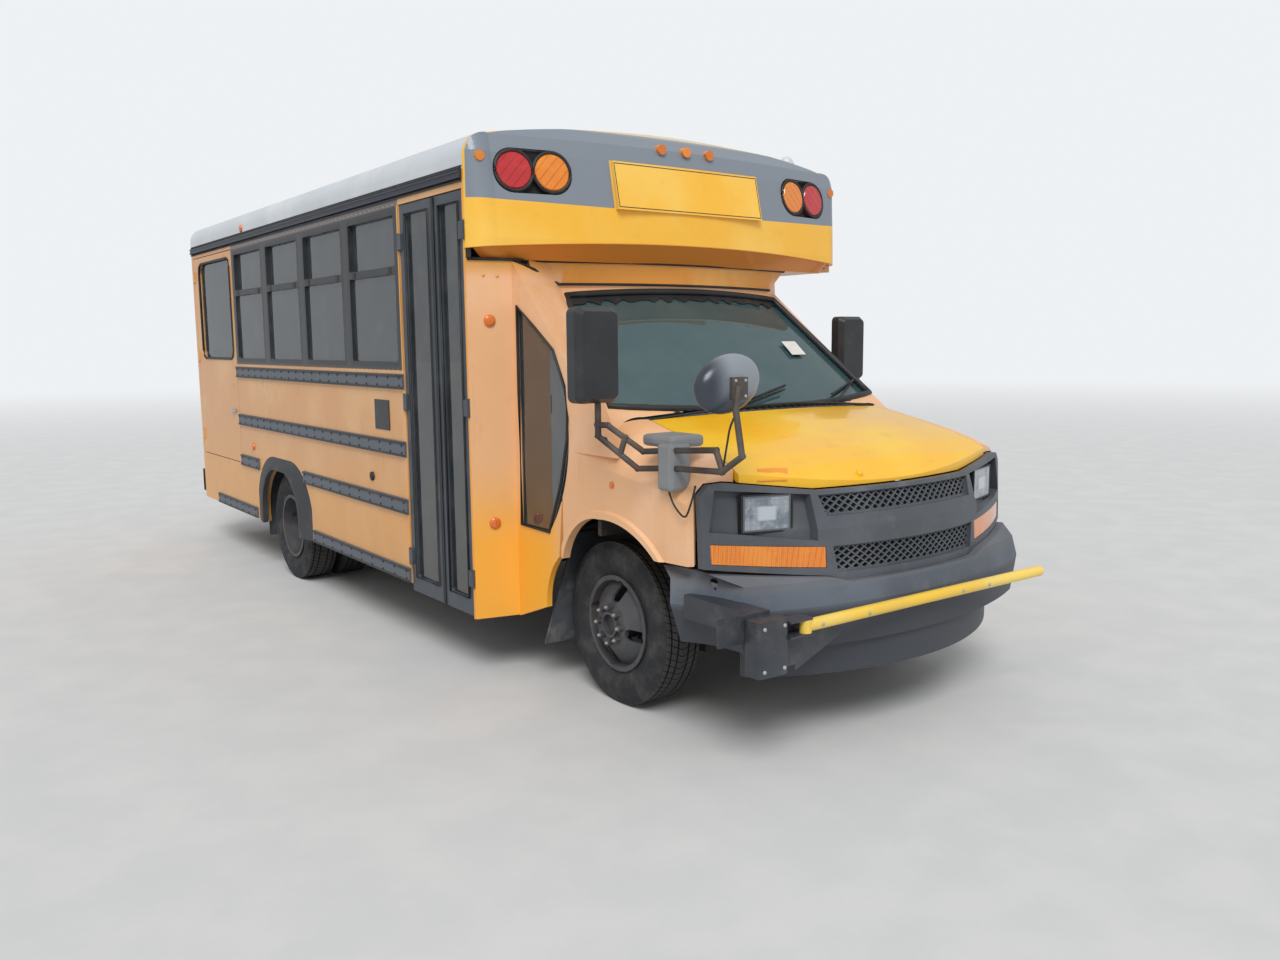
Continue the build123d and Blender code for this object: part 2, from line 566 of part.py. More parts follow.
rear_door = box(
    -REAR_DOOR_HALF + DOOR_GAP, REAR_DOOR_HALF - DOOR_GAP, BODY_REAR_Y - WALL, BODY_REAR_Y,
    FLOOR_Z + DOOR_GAP, REAR_DOOR_HEAD_Z - DOOR_GAP)
rear_pane_face = rounded(-330, 330, SILL_Z, REAR_DOOR_HEAD_Z - 90, 50)
rear_door -= along_y(rear_pane_face, BODY_REAR_Y - 2 * WALL, BODY_REAR_Y + 1)
rear_hinges = []
REAR_AXIS_Y = BODY_REAR_Y + HINGE_OUT
for z in (900, 1450, 2050):
    rear_hinges.append(rod(
        (-REAR_DOOR_HALF, REAR_AXIS_Y, z - HINGE_HALF), (-REAR_DOOR_HALF, REAR_AXIS_Y, z + HINGE_HALF), HINGE_R))
    strap = box(-REAR_DOOR_HALF, -REAR_DOOR_HALF + 50, BODY_REAR_Y, REAR_AXIS_Y + HINGE_R, z - 40, z + 40)
    rear_hinges.append(strap - box(
        -REAR_DOOR_HALF - 8, -REAR_DOOR_HALF + 8, 0, REAR_AXIS_Y, z - 41, z + 41))
keep("rear_door", fuse([rear_door] + rear_hinges))
PANE_Y = BODY_REAR_Y - 24
keep("rear_door_glass", along_y(rear_pane_face, PANE_Y, PANE_Y + 6))

# Window frames and glass in the body
FRAME_W = 28
frames = []
panes = []
for count, x_out in ((RIGHT_WINDOWS, -HALF), (LEFT_WINDOWS, HALF - WALL)):
    for i in range(count):
        y0, y1 = window_span(i)
        outer = rounded(y0, y1, SILL_Z, HEAD_Z, 30)
        upper = rounded(y0 + FRAME_W, y1 - FRAME_W, SASH_Z + 20, HEAD_Z - FRAME_W, 12)
        lower = rounded(y0 + FRAME_W, y1 - FRAME_W, SILL_Z + FRAME_W, SASH_Z - 20, 12)
        frames.append(along_x(outer, x_out, x_out + WALL) - [
            along_x(upper, x_out - 1, x_out + WALL + 1), along_x(lower, x_out - 1, x_out + WALL + 1)])
        for shape, shift in ((upper, 8), (lower, -2)):
            panes.append(along_x(shape, x_out + WALL / 2 - 2 + shift, x_out + WALL / 2 + 2 + shift))
for x0, x1 in rear_window_spans:
    outer = rounded(x0, x1, SILL_Z, REAR_WINDOW_TOP_Z, 40)
    inner = rounded(x0 + 25, x1 - 25, SILL_Z + 25, REAR_WINDOW_TOP_Z - 25, 25)
    frames.append(along_y(outer, BODY_REAR_Y - WALL, BODY_REAR_Y) - along_y(inner, BODY_REAR_Y - 2 * WALL, BODY_REAR_Y + 1))
    panes.append(along_y(inner, PANE_Y, PANE_Y + 4))
keep("window_frames", *frames)

# Rub rails and drip rails. Each row: low Z, high Z, stretches on the door side, stretches on the driver's side.
RAIL_OUT = 16
LIP = 14
RAIL_ROWS = (
    (1394, 1478, ((1440, 4507),), ((1320, 5640),)),
    (1031, 1118, ((1440, 4507),), ((1320, 5640),)),
    (720, 807, ((1440, 3100), (4070, 4507)), ((1320, 3100), (4070, 5640))),
    (SKIRT_Z, 430, ((1440, 2948), (4172, 5225)), ((1320, 2948), (4172, 5225))),
    (2392, SIDE_TOP_Z, ((710, 5650),), ((710, 5650),)),
)


def rail_section(z0, z1):
    """A rub rail's section as (X, Z) points: a shallow channel with a lip along each edge."""
    x = HALF + RAIL_OUT
    return outline(
        (HALF, z0), (x, z0 + 4), (x, z0 + LIP), (x - 5, z0 + LIP + 4), (x - 5, z1 - LIP - 4), (x, z1 - LIP),
        (x, z1 - 4), (HALF, z1))


rails = []
for z0, z1, right_runs, left_runs in RAIL_ROWS:
    section = rail_section(z0, z1)
    rails += [mirror(along_y(section, y0, y1), Plane.YZ) for y0, y1 in right_runs]
    rails += [along_y(section, y0, y1) for y0, y1 in left_runs]
keep("side_rails", *rails)

# Flares over the rear wheel openings slope out to a lip.
FLARE_OUT = 34
FLARE_HALF = 385
FLARE_TOP_Z = 762
FLARE_BAND = 190
FLARE_RISE = 85
flare_big = arch_face(FLARE_HALF + FLARE_BAND, FLARE_TOP_Z + FLARE_RISE, SKIRT_Z, 560)
flare_lip = arch_face(FLARE_HALF + 26, FLARE_TOP_Z + 22, SKIRT_Z, 490)
flare = loft([Plane.YZ.offset(HALF) * flare_big, Plane.YZ.offset(HALF + FLARE_OUT) * flare_lip], ruled=True)
flare -= along_x(arch_face(FLARE_HALF, FLARE_TOP_Z, 0, 470), HALF - 1, HALF + FLARE_OUT + 1)
keep("arch_flares", *both_sides(flare - rails))

# Cab shell: lofts between level outlines, hollowed, with its openings cut.
# Rows: height, side corner Y, windshield edge X and Y, centre Y, outer X of the driver's pillar.
CAB_ROWS = (
    (1150, -204, 939, -167, -284, 1003),
    (BELT_Z, -34, 884, 32, -85, 948),
    (GLASS_TOP_Z, 530, 702, 692, 600, 766),
    (CAB_TOP_Z, 655, 812, 668, 596, 836),
)
PILLAR_BACK = 60
PILLAR_SIDE_BACK = 115
CAB_T = 45
CAB_SHELL_TOP_Z = 2030
CAB_REAR_Y = DRIVER_SIDE_FRONT_Y


def cab_level(row, inset, rear_y):
    """The cab's outline at one height. The driver's side stands on the leaning plane of the door."""
    z, side_y, edge_x, edge_y, centre_y, pillar_x = row
    return Plane.XY.offset(z) * outline(
        (-CAB_HALF + inset, rear_y), (-CAB_HALF + inset, side_y + inset * 1.3), (-edge_x + inset, edge_y + inset * 1.5),
        ((0, centre_y + inset * 1.4), (edge_x - inset, edge_y + inset * 1.5)),
        (pillar_x - inset, edge_y + PILLAR_BACK + inset), (lean_x(z) - inset, edge_y + PILLAR_SIDE_BACK + inset),
        (lean_x(z) - inset, rear_y))


def cab_block(inset, rear_y):
    levels = [cab_level(row, inset, rear_y) for row in CAB_ROWS]
    return loft(levels, ruled=True)


# Nose. Rows: Y, centre Z, hood edge X and Z, shoulder X and Z, side X and Z.
NOSE_ROWS = (
    (700, 1500, 683, 1456, 915, 1385, 1006, 1260),
    (-60, 1334, 738, 1296, 915, 1235, 1006, 1110),
    (-364, 1268, 760, 1231, 915, 1178, 1006, 1060),
    (-532, 1222, 775, 1191, 912, 1145, 1000, 1030),
    (-659, 1178, 788, 1151, 905, 1110, 985, 1000),
    (-760, 1130, 797, 1098, 900, 1064, 965, 960),
    (-880, 1040, 805, 1020, 895, 990, 940, 900),
)
NOSE_R = 2359
NOSE_CENTRE_Y = 1494


def nose_level(row, t):
    """The nose's section at one place along the bus, smaller by t."""
    y, centre_z, edge_x, edge_z, shoulder_x, shoulder_z, side_x, side_z = row
    return front_plane(y) * outline(
        (-side_x + t, 250), (-side_x + t, side_z - 0.6 * t), ((-shoulder_x + 0.7 * t, shoulder_z - 0.7 * t), (-edge_x, edge_z - t)),
        ((0, centre_z - t), (edge_x, edge_z - t)),
        ((shoulder_x - 0.7 * t, shoulder_z - 0.7 * t), (side_x - t, side_z - 0.6 * t)), (side_x - t, 250))


def nose_block(t):
    """The whole nose as a solid from z 250, with its front rounded in plan."""
    block = loft([nose_level(row, t) for row in NOSE_ROWS], ruled=True)
    plan = Pos(0, NOSE_CENTRE_Y) * Circle(NOSE_R - t)
    return block & along_z(plan, 200, 2000)


nose_outer = nose_block(0)
nose_inner = nose_block(PANEL_T)

# The windshield's base and the plan lines of the cowl and hood.
cowl_plan = outline(
    (-735, -75), (-870, -20), (-885, 36), ((0, -83), (885, 36)), (870, -20), (735, -75), ((0, -154), (-735, -75)))
hood_plan = outline((-738, -81), ((0, -160), (738, -81)), (828, -1100), (-828, -1100))
cab_well = along_z(outline(
    (-930, FENDER_REAR_Y), (-930, 60), (-885, 36), ((0, -83), (885, 36)), (930, 60), (930, FENDER_REAR_Y)), 0, 2000)
hood_zone = along_z(hood_plan, 200, 2000)

cab_outer = cab_block(0, CAB_REAR_Y)
cab_inner = cab_block(CAB_T, CAB_REAR_Y + 5)
cab = (cab_outer - cab_inner) & fuse([
    box(-900, CAB_HALF, -400, 760, BELT_Z, CAB_SHELL_TOP_Z),
    box(-CAB_HALF, -890, -400, 640, BELT_Z, CAB_SHELL_TOP_Z),
    box(-CAB_HALF, CAB_HALF, -400, FENDER_REAR_Y, 1150, BELT_Z + 10),
    box(700, CAB_HALF, 740, CAB_REAR_Y, BELT_Z, CAB_SHELL_TOP_Z),
])
WINDSHIELD_FACE = outline((-862, 1352), ((0, 1316), (862, 1352)), (700, 1868), ((0, 1896), (-700, 1868)))
windshield_cut = along_y(WINDSHIELD_FACE, -400, 720)
glass_band = cab_block(14, CAB_REAR_Y) - cab_block(20, CAB_REAR_Y + 5)
panes.append(biggest(windshield_cut & glass_band & box(-900, 900, -400, 760, BELT_Z, GLASS_TOP_Z)))
cab -= windshield_cut
TALL_WINDOW = outline((600, 757), (345, 757), ((169, 1300), (280, 1600)), (600, 1812))
DRIVER_DOOR_FACE = outline(
    (236, 900), (265, 652), ((352, 541), (380, 393)), (1270, 393), (1270, DOOR_TOP_Z), (770, DOOR_TOP_Z), (236, 1385))
cab -= along_x(TALL_WINDOW, -CAB_HALF - 1, -CAB_HALF + 50)
cab -= along_x(DRIVER_DOOR_FACE, 700, CAB_HALF + 10)
cab = biggest(cab - nose_outer)
COWL_LOW = PANEL_T + 4
COWL_TOP = 7
cowl = (Pos(0, 0, -COWL_TOP) * nose_outer - Pos(0, 0, -COWL_LOW) * nose_outer) & along_z(cowl_plan, 1000, 1500)
HOOD_HINGE = (-50, 1280)
HOOD_TAB_X = (620, 660)
HOOD_BARREL_R = 7
cowl -= both_sides(box(HOOD_TAB_X[0] - 15, HOOD_TAB_X[1] + 15, -110, -36, 1000, 1500))
cowl -= cab_outer
keep("cowl", *[s for s in cowl.solids() if s.volume > 20000])
keep("cab_shell", cab)

# Passenger-side cab panel with the tall window, and the corner beside the entrance.
side_face = outline(
    (640, 298), (380, 393), ((352, 541), (265, 652)), (236, 900), (236, BELT_Z), (640, BELT_Z))
side_panel = along_x(side_face, -CAB_HALF, -CAB_HALF + PANEL_T)
side_panel -= along_x(TALL_WINDOW, -CAB_HALF - 1, -CAB_HALF + 120)
corner = along_z(outline(
    (-HALF, SIDE_FRONT_Y), (-HALF, 690), (-CAB_HALF, 640), (-CAB_HALF + PANEL_T, 640), (-CAB_HALF + PANEL_T, 668),
    (-HALF + WALL, SIDE_FRONT_Y)), 302, CAB_SHELL_TOP_Z)
keep("cab_side_right", fuse([side_panel, corner]))
panes.append(along_x(TALL_WINDOW, -CAB_HALF + 10, -CAB_HALF + 16))
keep("window_glass", *panes)


def leaning_slab(x_shift, thick):
    """A slab on the driver's side that is upright below the belt and leans in above it."""
    outer = [(lean_x(z) + x_shift, z) for z in (300, BELT_Z, DOOR_TOP_Z + 60)]
    inner = [(lean_x(z) + x_shift - thick, z) for z in (DOOR_TOP_Z + 60, BELT_Z, 300)]
    return along_y(outline(*outer, *inner), 0, 1400)


# Driver's door
door_glass_face = outline((340, 1385), (1200, 1385), (1200, 1800), (800, 1800))
door_slab = leaning_slab(0, DOOR_T)
driver_door = along_x(offset(DRIVER_DOOR_FACE, -DOOR_GAP), 700, CAB_HALF + 10) & door_slab
driver_door -= along_x(door_glass_face, 700, CAB_HALF + 10)
DRIVER_HINGE = (1013, 233)
DRIVER_BARREL_R = 6.5
DRIVER_HINGE_Z = (905, 1065)
driver_hinges = []
for z in DRIVER_HINGE_Z:
    driver_hinges.append(rod((*DRIVER_HINGE, z - 40), (*DRIVER_HINGE, z + 40), DRIVER_BARREL_R))
    driver_hinges.append(box(
        CAB_HALF - 4, DRIVER_HINGE[0] + DRIVER_BARREL_R, DRIVER_HINGE[1], 262, z - 40, z + 40))
keep("driver_door", fuse([driver_door] + driver_hinges))
door_pane = along_x(offset(door_glass_face, -RUN_GAP), 700, CAB_HALF + 10) & leaning_slab(-17, 6)
keep("driver_door_glass", door_pane)

# Rocker under the driver's door
rocker = fuse([
    box(DRIVER_FLOOR_X, CAB_HALF - 6, 440, DRIVER_SIDE_FRONT_Y, SKIRT_Z, 393 - DOOR_GAP),
    box(DRIVER_FLOOR_X, DRIVER_FLOOR_X + 12, 440, DRIVER_SIDE_FRONT_Y, SKIRT_Z, FLOOR_Z),
])
made["side_wall_left"] = [fuse([made["side_wall_left"][0], rocker])]

# Panel around the headlamps. Rows: height, centre Y, Y at the outer corners.
PANEL_ROWS = ((672, -985, -706), (885, -968, -700), (1095, -880, -690))
PANEL_X = 962
GRILLE_T = 30
POCKET_DEEP = 45
POCKET_WALL = 7


def face_solid(back):
    """All that lies more than back behind the panel's curved face."""
    levels = []
    for z, centre_y, corner_y in PANEL_ROWS:
        levels.append(Plane.XY.offset(z) * outline(
            (-PANEL_X, corner_y + back), ((0, centre_y + back), (PANEL_X, corner_y + back)), (PANEL_X, -300), (-PANEL_X, -300)))
    return loft(levels, ruled=True)


def face_band(front, back):
    return face_solid(front) - face_solid(back)


def mirrored(points):
    """A face that is the same on both sides, from the points of its left half in order."""
    return outline(*points, *[(-x, z) for x, z in reversed(points) if x != 0])


PANEL_HALF = (
    (0, 1034), (-470, 1036), (-860, 1086), (-925, 1080), (-958, 1040), (-955, 752), (-470, 697), (-400, 672), (0, 672))
panel_mask = outline(*PANEL_HALF, *[(-x, z) for x, z in reversed(PANEL_HALF[1:-1])])
panel_prism = along_y(panel_mask, -1200, -400)
panel_room = along_y(offset(panel_mask, 5), -1200, -640)
POCKET = ((-905, 1060), (-515, 1024), (-515, 842), (-931, 898))
TURN = ((-930, 850), (-480, 817), (-480, 729), (-926, 769))
GRILLE_OPEN = (
    ((-480, 1018), (480, 1018), (460, 935), (-460, 935)),
    ((-450, 815), (450, 815), (430, 707), (-430, 707)),
)
panel_skin = face_band(0, GRILLE_T)
pocket_face = outline(*POCKET)
pocket_prisms = both_sides(along_y(pocket_face, -1200, -400))
pocket_shells = both_sides(along_y(offset(pocket_face, POCKET_WALL), -1200, -400))
turn_prisms = both_sides(along_y(outline(*TURN), -1200, -400))
grille = fuse([panel_skin & panel_prism] + [face_band(2, POCKET_DEEP + POCKET_WALL) & p for p in pocket_shells])
grille -= [p - face_solid(POCKET_DEEP) for p in pocket_prisms]
grille -= [p - face_solid(19) for p in turn_prisms]
for points in GRILLE_OPEN:
    grille -= along_y(outline(*points), -1200, -400)

# Mesh of the two grille openings: a plate with diamond holes between crossing bars.
MESH_PITCH_X = 44
MESH_PITCH_Z = 30
MESH_BAR = 6
mesh_band = face_band(16, 23)
meshes = []
for points in GRILLE_OPEN:
    (left, top), right_top, right_low, (left_low, low) = points
    hole_x = MESH_PITCH_X / 2 - MESH_BAR * 0.9
    hole_z = MESH_PITCH_Z / 2 - MESH_BAR * 0.6
    holes = []
    columns = int(-left / (MESH_PITCH_X / 2)) + 1
    levels_up = int((top - low) / (MESH_PITCH_Z / 2)) + 1
    for i in range(-columns, columns + 1):
        for j in range(levels_up + 1):
            if (i + j) % 2 == 0:
                x, z = i * MESH_PITCH_X / 2, low + j * MESH_PITCH_Z / 2
                holes.append(outline((x - hole_x, z), (x, z - hole_z), (x + hole_x, z), (x, z + hole_z)))
    inside = offset(outline(*points), -8)
    plate = outline(*points) - [hole & inside for hole in holes]
    meshes.append(along_y(plate, -1200, -400) & mesh_band)
panel_parts = [grille] + meshes

# Lamps in the panel: two flat sealed beams and two amber strips
HEADLAMP = (595, 795, 887, 1029)
HEADLAMP_FRONT_Y = (-822, -762)
headlamp = along_z(outline(
    (HEADLAMP[0], HEADLAMP_FRONT_Y[0]), (HEADLAMP[1], HEADLAMP_FRONT_Y[1]), (HEADLAMP[1], -690), (HEADLAMP[0], -690)),
    HEADLAMP[2], HEADLAMP[3]) - face_solid(POCKET_DEEP - RUN_GAP)
keep("headlamps", *both_sides(headlamp))
turn_face = offset(outline(*TURN), -2)
turn_lamp = biggest(along_y(turn_face, -1200, -400) & face_band(3, 19 - RUN_GAP))

# Hood and fenders
hood_skin = nose_outer - Pos(0, 20, -HOOD_T) * nose_outer
hood = biggest((hood_skin & along_z(offset(hood_plan, -HOOD_GAP), 980, 2000)) - panel_room)
hood_tabs = []
for x0, x1 in (HOOD_TAB_X, (-HOOD_TAB_X[1], -HOOD_TAB_X[0])):
    hood_tabs.append(box(x0, x1, -130, HOOD_HINGE[0], HOOD_HINGE[1] - 12, HOOD_HINGE[1] + 4))
    hood_tabs.append(rod((x0, *HOOD_HINGE), (x1, *HOOD_HINGE), HOOD_BARREL_R))
keep("hood", fuse([hood] + hood_tabs))

ARCH_FRONT = (-500, 735)
ARCH_TOP = (-75, 875)
ARCH_REAR = (215, 660)
LIP_BAND = 42


def front_arch(grow):
    """The front wheel opening as a face of (Y, Z) points, wider all round by grow."""
    return outline(
        (ARCH_FRONT[0] - 12 - grow, 0), (ARCH_FRONT[0] - grow, ARCH_FRONT[1]),
        ((-318 - grow * 0.6, 846 + grow * 0.8), (ARCH_TOP[0], ARCH_TOP[1] + grow)),
        ((112 + grow * 0.72, 812 + grow * 0.7), (ARCH_REAR[0] + grow, ARCH_REAR[1])), (300 + grow, 0))


fender_body = (nose_outer - nose_inner - hood_zone - cab_well) & box(-1100, 1100, -700, FENDER_REAR_Y, 0, BELT_Z)
fender_body -= along_z(cowl_plan, 0, 2000)
fender_body -= along_x(front_arch(0), -1100, 1100)
fender_body -= box(-1100, 1100, -1100, ARCH_FRONT[0] + 20, 0, 757)
fender_body -= box(-1100, 1100, 0, 300, 0, 655)
fender_body -= panel_room
lip = loft([
    Plane.YZ.offset(CAB_HALF - 6) * front_arch(LIP_BAND), Plane.YZ.offset(CAB_HALF - 2) * front_arch(LIP_BAND),
    Plane.YZ.offset(CAB_HALF + 12) * front_arch(LIP_BAND - 14)], ruled=True)
lip -= along_x(front_arch(0), 900, 1100)
lip &= fuse([box(900, 1100, -560, 0, 757, 1000), box(900, 1100, -10, FENDER_REAR_Y, 655, 1000)])
fender = fuse([biggest(fender_body & box(700, 1100, -1100, 300, 0, 2000)), lip])
door_lugs = []
for z in DRIVER_HINGE_Z:
    for low in (z - 49, z + 40 + RUN_GAP):
        door_lugs.append(box(CAB_HALF - 4, DRIVER_HINGE[0] + 4, 212, DRIVER_HINGE[1] + 3, low, low + 9 - RUN_GAP))
fender_right = mirror(fender, Plane.YZ) - along_x(TALL_WINDOW, -CAB_HALF - 1, -CAB_HALF + 120)
keep("fenders", fuse([fender] + door_lugs), biggest(fender_right))
cab_space = nose_block(PANEL_T + 4)
plenum = along_z(cowl_plan, 1230, 1400) & box(-590, 590, -200, FIREWALL_Y[1], 1230, 1400)
firewall = cab_space & fuse([
    box(-CAB_HALF, CAB_HALF, *FIREWALL_Y, FLOOR_Z + 40, 1400),
    box(-CAB_FLOOR_HALF, CAB_FLOOR_HALF, *FIREWALL_Y, FLOOR_Z, FLOOR_Z + 50), plenum])
hinge_lugs = []
for x0, x1 in ((HOOD_TAB_X[0] - 9, HOOD_TAB_X[0] - RUN_GAP), (HOOD_TAB_X[1] + RUN_GAP, HOOD_TAB_X[1] + 9)):
    hinge_lugs += both_sides(box(x0, x1, HOOD_HINGE[0] - 10, FIREWALL_Y[0], 1235, HOOD_HINGE[1] + 9))
firewall = biggest(fuse([biggest(firewall)] + hinge_lugs) - cowl - cab)
keep("firewall", firewall)

# Front bumper. Rows: height, end X and Y, corner X and Y, centre Y.
BUMPER_ROWS = (
    (430, 950, -562, 867, -850, -1030),
    (595, 1003, -560, 910, -850, -1035),
    (694, 985, -540, 868, -850, -1005),
    (735, 970, -476, 945, -741, -960),
)
BUMPER_T = 50
BUMPER_TOP_T = 38
END_BULGE = 28


def bumper_level(row, t):
    z, end_x, end_y, corner_x, corner_y, centre_y = row
    left_end, left_corner = (-end_x + t, end_y + t * 1.5), (-corner_x + t, corner_y + t)
    right_end, right_corner = (end_x - t, end_y + t * 1.5), (corner_x - t, corner_y + t)
    return Plane.XY.offset(z) * outline(
        left_end, (bulge(left_end, left_corner, END_BULGE), left_corner), ((0, centre_y + t), right_corner),
        (bulge(right_corner, right_end, END_BULGE), right_end))


bumper = loft([bumper_level(row, 0) for row in BUMPER_ROWS], ruled=True)
bumper -= loft([bumper_level(row, BUMPER_T) for row in BUMPER_ROWS[:3]], ruled=True) - box(
    -1100, 1100, -1100, 0, BUMPER_ROWS[2][0] - BUMPER_TOP_T, 800)
bumper &= along_y(outline(
    (-1010, 400), (-1010, 735), (-950, 735), (-480, 697), (-400, 675), (400, 675), (480, 697), (950, 735), (1010, 735),
    (1010, 400)), -1200, -400)
bumper -= along_y(offset(panel_mask, 3), -1200, -400) & face_solid(-3)
bumper -= box(-1100, 1100, -720, 0, BUMPER_ROWS[2][0] - BUMPER_TOP_T, 800) & box(-900, 900, -720, 0, 0, 800)
bumper = biggest(bumper)
valance_plan = outline((-780, -770), ((0, -1010), (780, -770)), (780, -730), ((0, -970), (-780, -730)))
bumper_arms = both_sides(box(RAIL_X - 25, RAIL_X + 25, -945, RAIL_FRONT_Y, 560, 640))
keep("front_bumper", fuse([bumper, along_z(valance_plan, 296, 434)] + bumper_arms))

# Front cap over the cab. Rows: height, half width, corner Y, centre Y.
CREASE_ROW = (2123, HALF, 604, 497)
CAP_ROWS = (
    CREASE_ROW,
    (2290, HALF, 618, 508),
    (2519, HALF, 655, 556),
    (2604, HALF, 682, 578),
    (2665, HALF, 730, 640),
    (2700, HALF, 800, 720),
)
CAP_LOW_Z = CAB_SHELL_TOP_Z
CAP_LOW_ROW = (CAP_LOW_Z, 1130, 668, 590)
CAP_CORNER = 125
CAP_BULGE = -22


def cap_level(row, t, z=None):
    height, half, corner_y, centre_y = row
    w = half - t
    side_y = max(SIDE_FRONT_Y - 12, corner_y + t + 34)
    left, left_corner = (-w, side_y), (-w + CAP_CORNER, corner_y + t)
    right, right_corner = (w, side_y), (w - CAP_CORNER, corner_y + t)
    return Plane.XY.offset(height if z is None else z) * outline(
        (-w, 1000), left, (bulge(left, left_corner, CAP_BULGE), left_corner), ((0, centre_y + t), right_corner),
        (bulge(right_corner, right, CAP_BULGE), right), (w, 1000))


def cap_block(t, low_z):
    """The cap's front above its crease, carried straight down to low_z."""
    levels = [cap_level(CREASE_ROW, t, low_z)] + [cap_level(row, t) for row in CAP_ROWS]
    return loft(levels, ruled=True)


cap_front = cap_block(0, 2060)
cap_front &= along_y(outline(
    (-HALF - 5, 2076), ((0, 2120), (HALF + 5, 2076)), (HALF + 5, 2800), (-HALF - 5, 2800)), 300, 900)
cap_under = loft([cap_level(CAP_LOW_ROW, 0), cap_level(CREASE_ROW, 1)], ruled=True)
cap = fuse([cap_front, cap_under]) & along_y(body_section(0, CAP_LOW_Z), 300, SIDE_FRONT_Y)
CAP_FLOOR_Z = 2110
cap -= cap_block(WALL, CAP_FLOOR_Z) & along_y(body_section(WALL, CAP_FLOOR_Z), 300, SIDE_FRONT_Y + 1)
SIGN_HALF = 476
sign = along_x(outline((497, 2282), (551, 2519), (620, 2519), (620, 2282)), -SIGN_HALF, SIGN_HALF)
cap = fuse([cap, sign])

# Lamp pockets in the cap, with a red and an amber lamp in each. Rows: X, radius of the lens.
LAMP_Z = 2438
POCKET_X = 894
POCKET_Y = 612
LAMP_YAW = 9
LAMP_PITCH = 8
LENS_R = 90
LENS_OUT = 10
RED_X = 989
AMBER_X = 799
POCKET_SINK = 24


def cap_lamp_plane(side):
    yaw = math.radians(LAMP_YAW)
    return Plane(
        origin=(side * POCKET_X, POCKET_Y, LAMP_Z), x_dir=(math.cos(yaw), side * math.sin(yaw), 0),
        z_dir=(side * math.sin(yaw), -math.cos(yaw), math.tan(math.radians(LAMP_PITCH))))


reds = []
ambers = []
for side in (-1, 1):
    plane = cap_lamp_plane(side)
    cap -= extrude(plane * RectangleRounded(400, 215, 100), POCKET_SINK, both=True)
    half_step = (RED_X - AMBER_X) / 2 / math.cos(math.radians(LAMP_YAW))
    for lamps, along in ((reds, side * half_step), (ambers, -side * half_step)):
        lens = extrude(plane.offset(-POCKET_SINK) * Pos(along, 0) * Circle(LENS_R), POCKET_SINK + LENS_OUT)
        lamps.append(chamfer(lens.edges().filter_by(GeomType.CIRCLE).sort_by(Axis.Y)[0], 8))
cap = biggest(cap)
keep("front_cap", cap)
WARN_R = 95
for side in (-1, 1):
    for lamps, x, z, r in ((reds, 989, 2380, WARN_R), (ambers, 780, 2380, WARN_R), (reds, 950, 1250, 90), (reds, 950, 950, 55)):
        lamps.append(rod((side * x, BODY_REAR_Y, z), (side * x, BODY_REAR_Y + 30, z), r))
for x, y, z, r in ((-158, 560, 2604, 26), (0, 556, 2604, 26), (158, 560, 2604, 26), (1157, 640, 2494, 24), (-1157, 640, 2494, 24)):
    ambers.append(biggest(rod((x, y, z), (x, y + 90, z), r) - cap_front))
keep("red_lamps", *reds)
keep("amber_lamps", *ambers, *both_sides(turn_lamp))

# Seats and dashboard. Bench rows: side, front edges Y.
SEAT_D = 380
SEAT_Z = 1210
BENCH_ROWS = ((1, (1750, 2450, 3150, 3850)), (-1, (1700, 2400, 3100)))


def bench(x0, x1, y, leg_x):
    """A bench with a rounded cushion, a leaning back and one leg."""
    section = outline(
        (y, SEAT_Z - 80), (y, SEAT_Z - 20), ((y + 8, SEAT_Z - 6), (y + 30, SEAT_Z)), (y + SEAT_D - 30, SEAT_Z - 20),
        (y + SEAT_D + 20, SEAT_Z + 430), ((y + SEAT_D + 55, SEAT_Z + 455), (y + SEAT_D + 90, SEAT_Z + 430)),
        (y + SEAT_D + 60, SEAT_Z - 80))
    leg = box(leg_x - 25, leg_x + 25, y + 60, y + SEAT_D, FLOOR_Z, SEAT_Z - 70)
    return fuse([along_x(section, x0, x1), leg])


seats = []
for side, fronts in BENCH_ROWS:
    for y in fronts:
        ends = sorted((side * 330, side * (HALF - WALL)))
        seats.append(bench(*ends, y, side * 415))
keep("bench_seats", *seats)
driver_back = outline(
    (1090, 1050), (1110, 1740), ((1160, 1800), (1215, 1740)), (1205, 1050))
driver_cushion = outline(
    (700, 1030), (700, 1120), ((712, 1145), (745, 1150)), (1100, 1110), (1200, 1110), (1200, 1030))
keep("driver_seat", fuse([
    along_x(driver_back, 220, 680), along_x(driver_cushion, 210, 690), box(260, 640, 740, 1150, FLOOR_Z, 1036)]))
dash_plan = outline((-900, 330), (-890, 60), ((0, -55), (890, 60)), (900, 330))
dash_front = outline(
    (-890, 1050), (-890, 1140), (-850, 1195), (-700, 1258), ((0, 1290), (700, 1258)), (850, 1195), (890, 1140), (890, 1050))
dash = along_y(dash_front, -60, 330) & along_z(dash_plan, 1000, 1400)
WHEEL_PLACE = (450, 560, 1290)
keep("dashboard", fuse([
    biggest(dash - firewall),
    rod((450, 320, 1175), WHEEL_PLACE, 28),
    Plane(origin=WHEEL_PLACE, z_dir=(0, 230, 110)) * revolve(Plane.XZ * Pos(200, 0) * RegularPolygon(16, 6), Axis.Z),
    rod((260, 560, 1290), (640, 560, 1290), 12),
]))

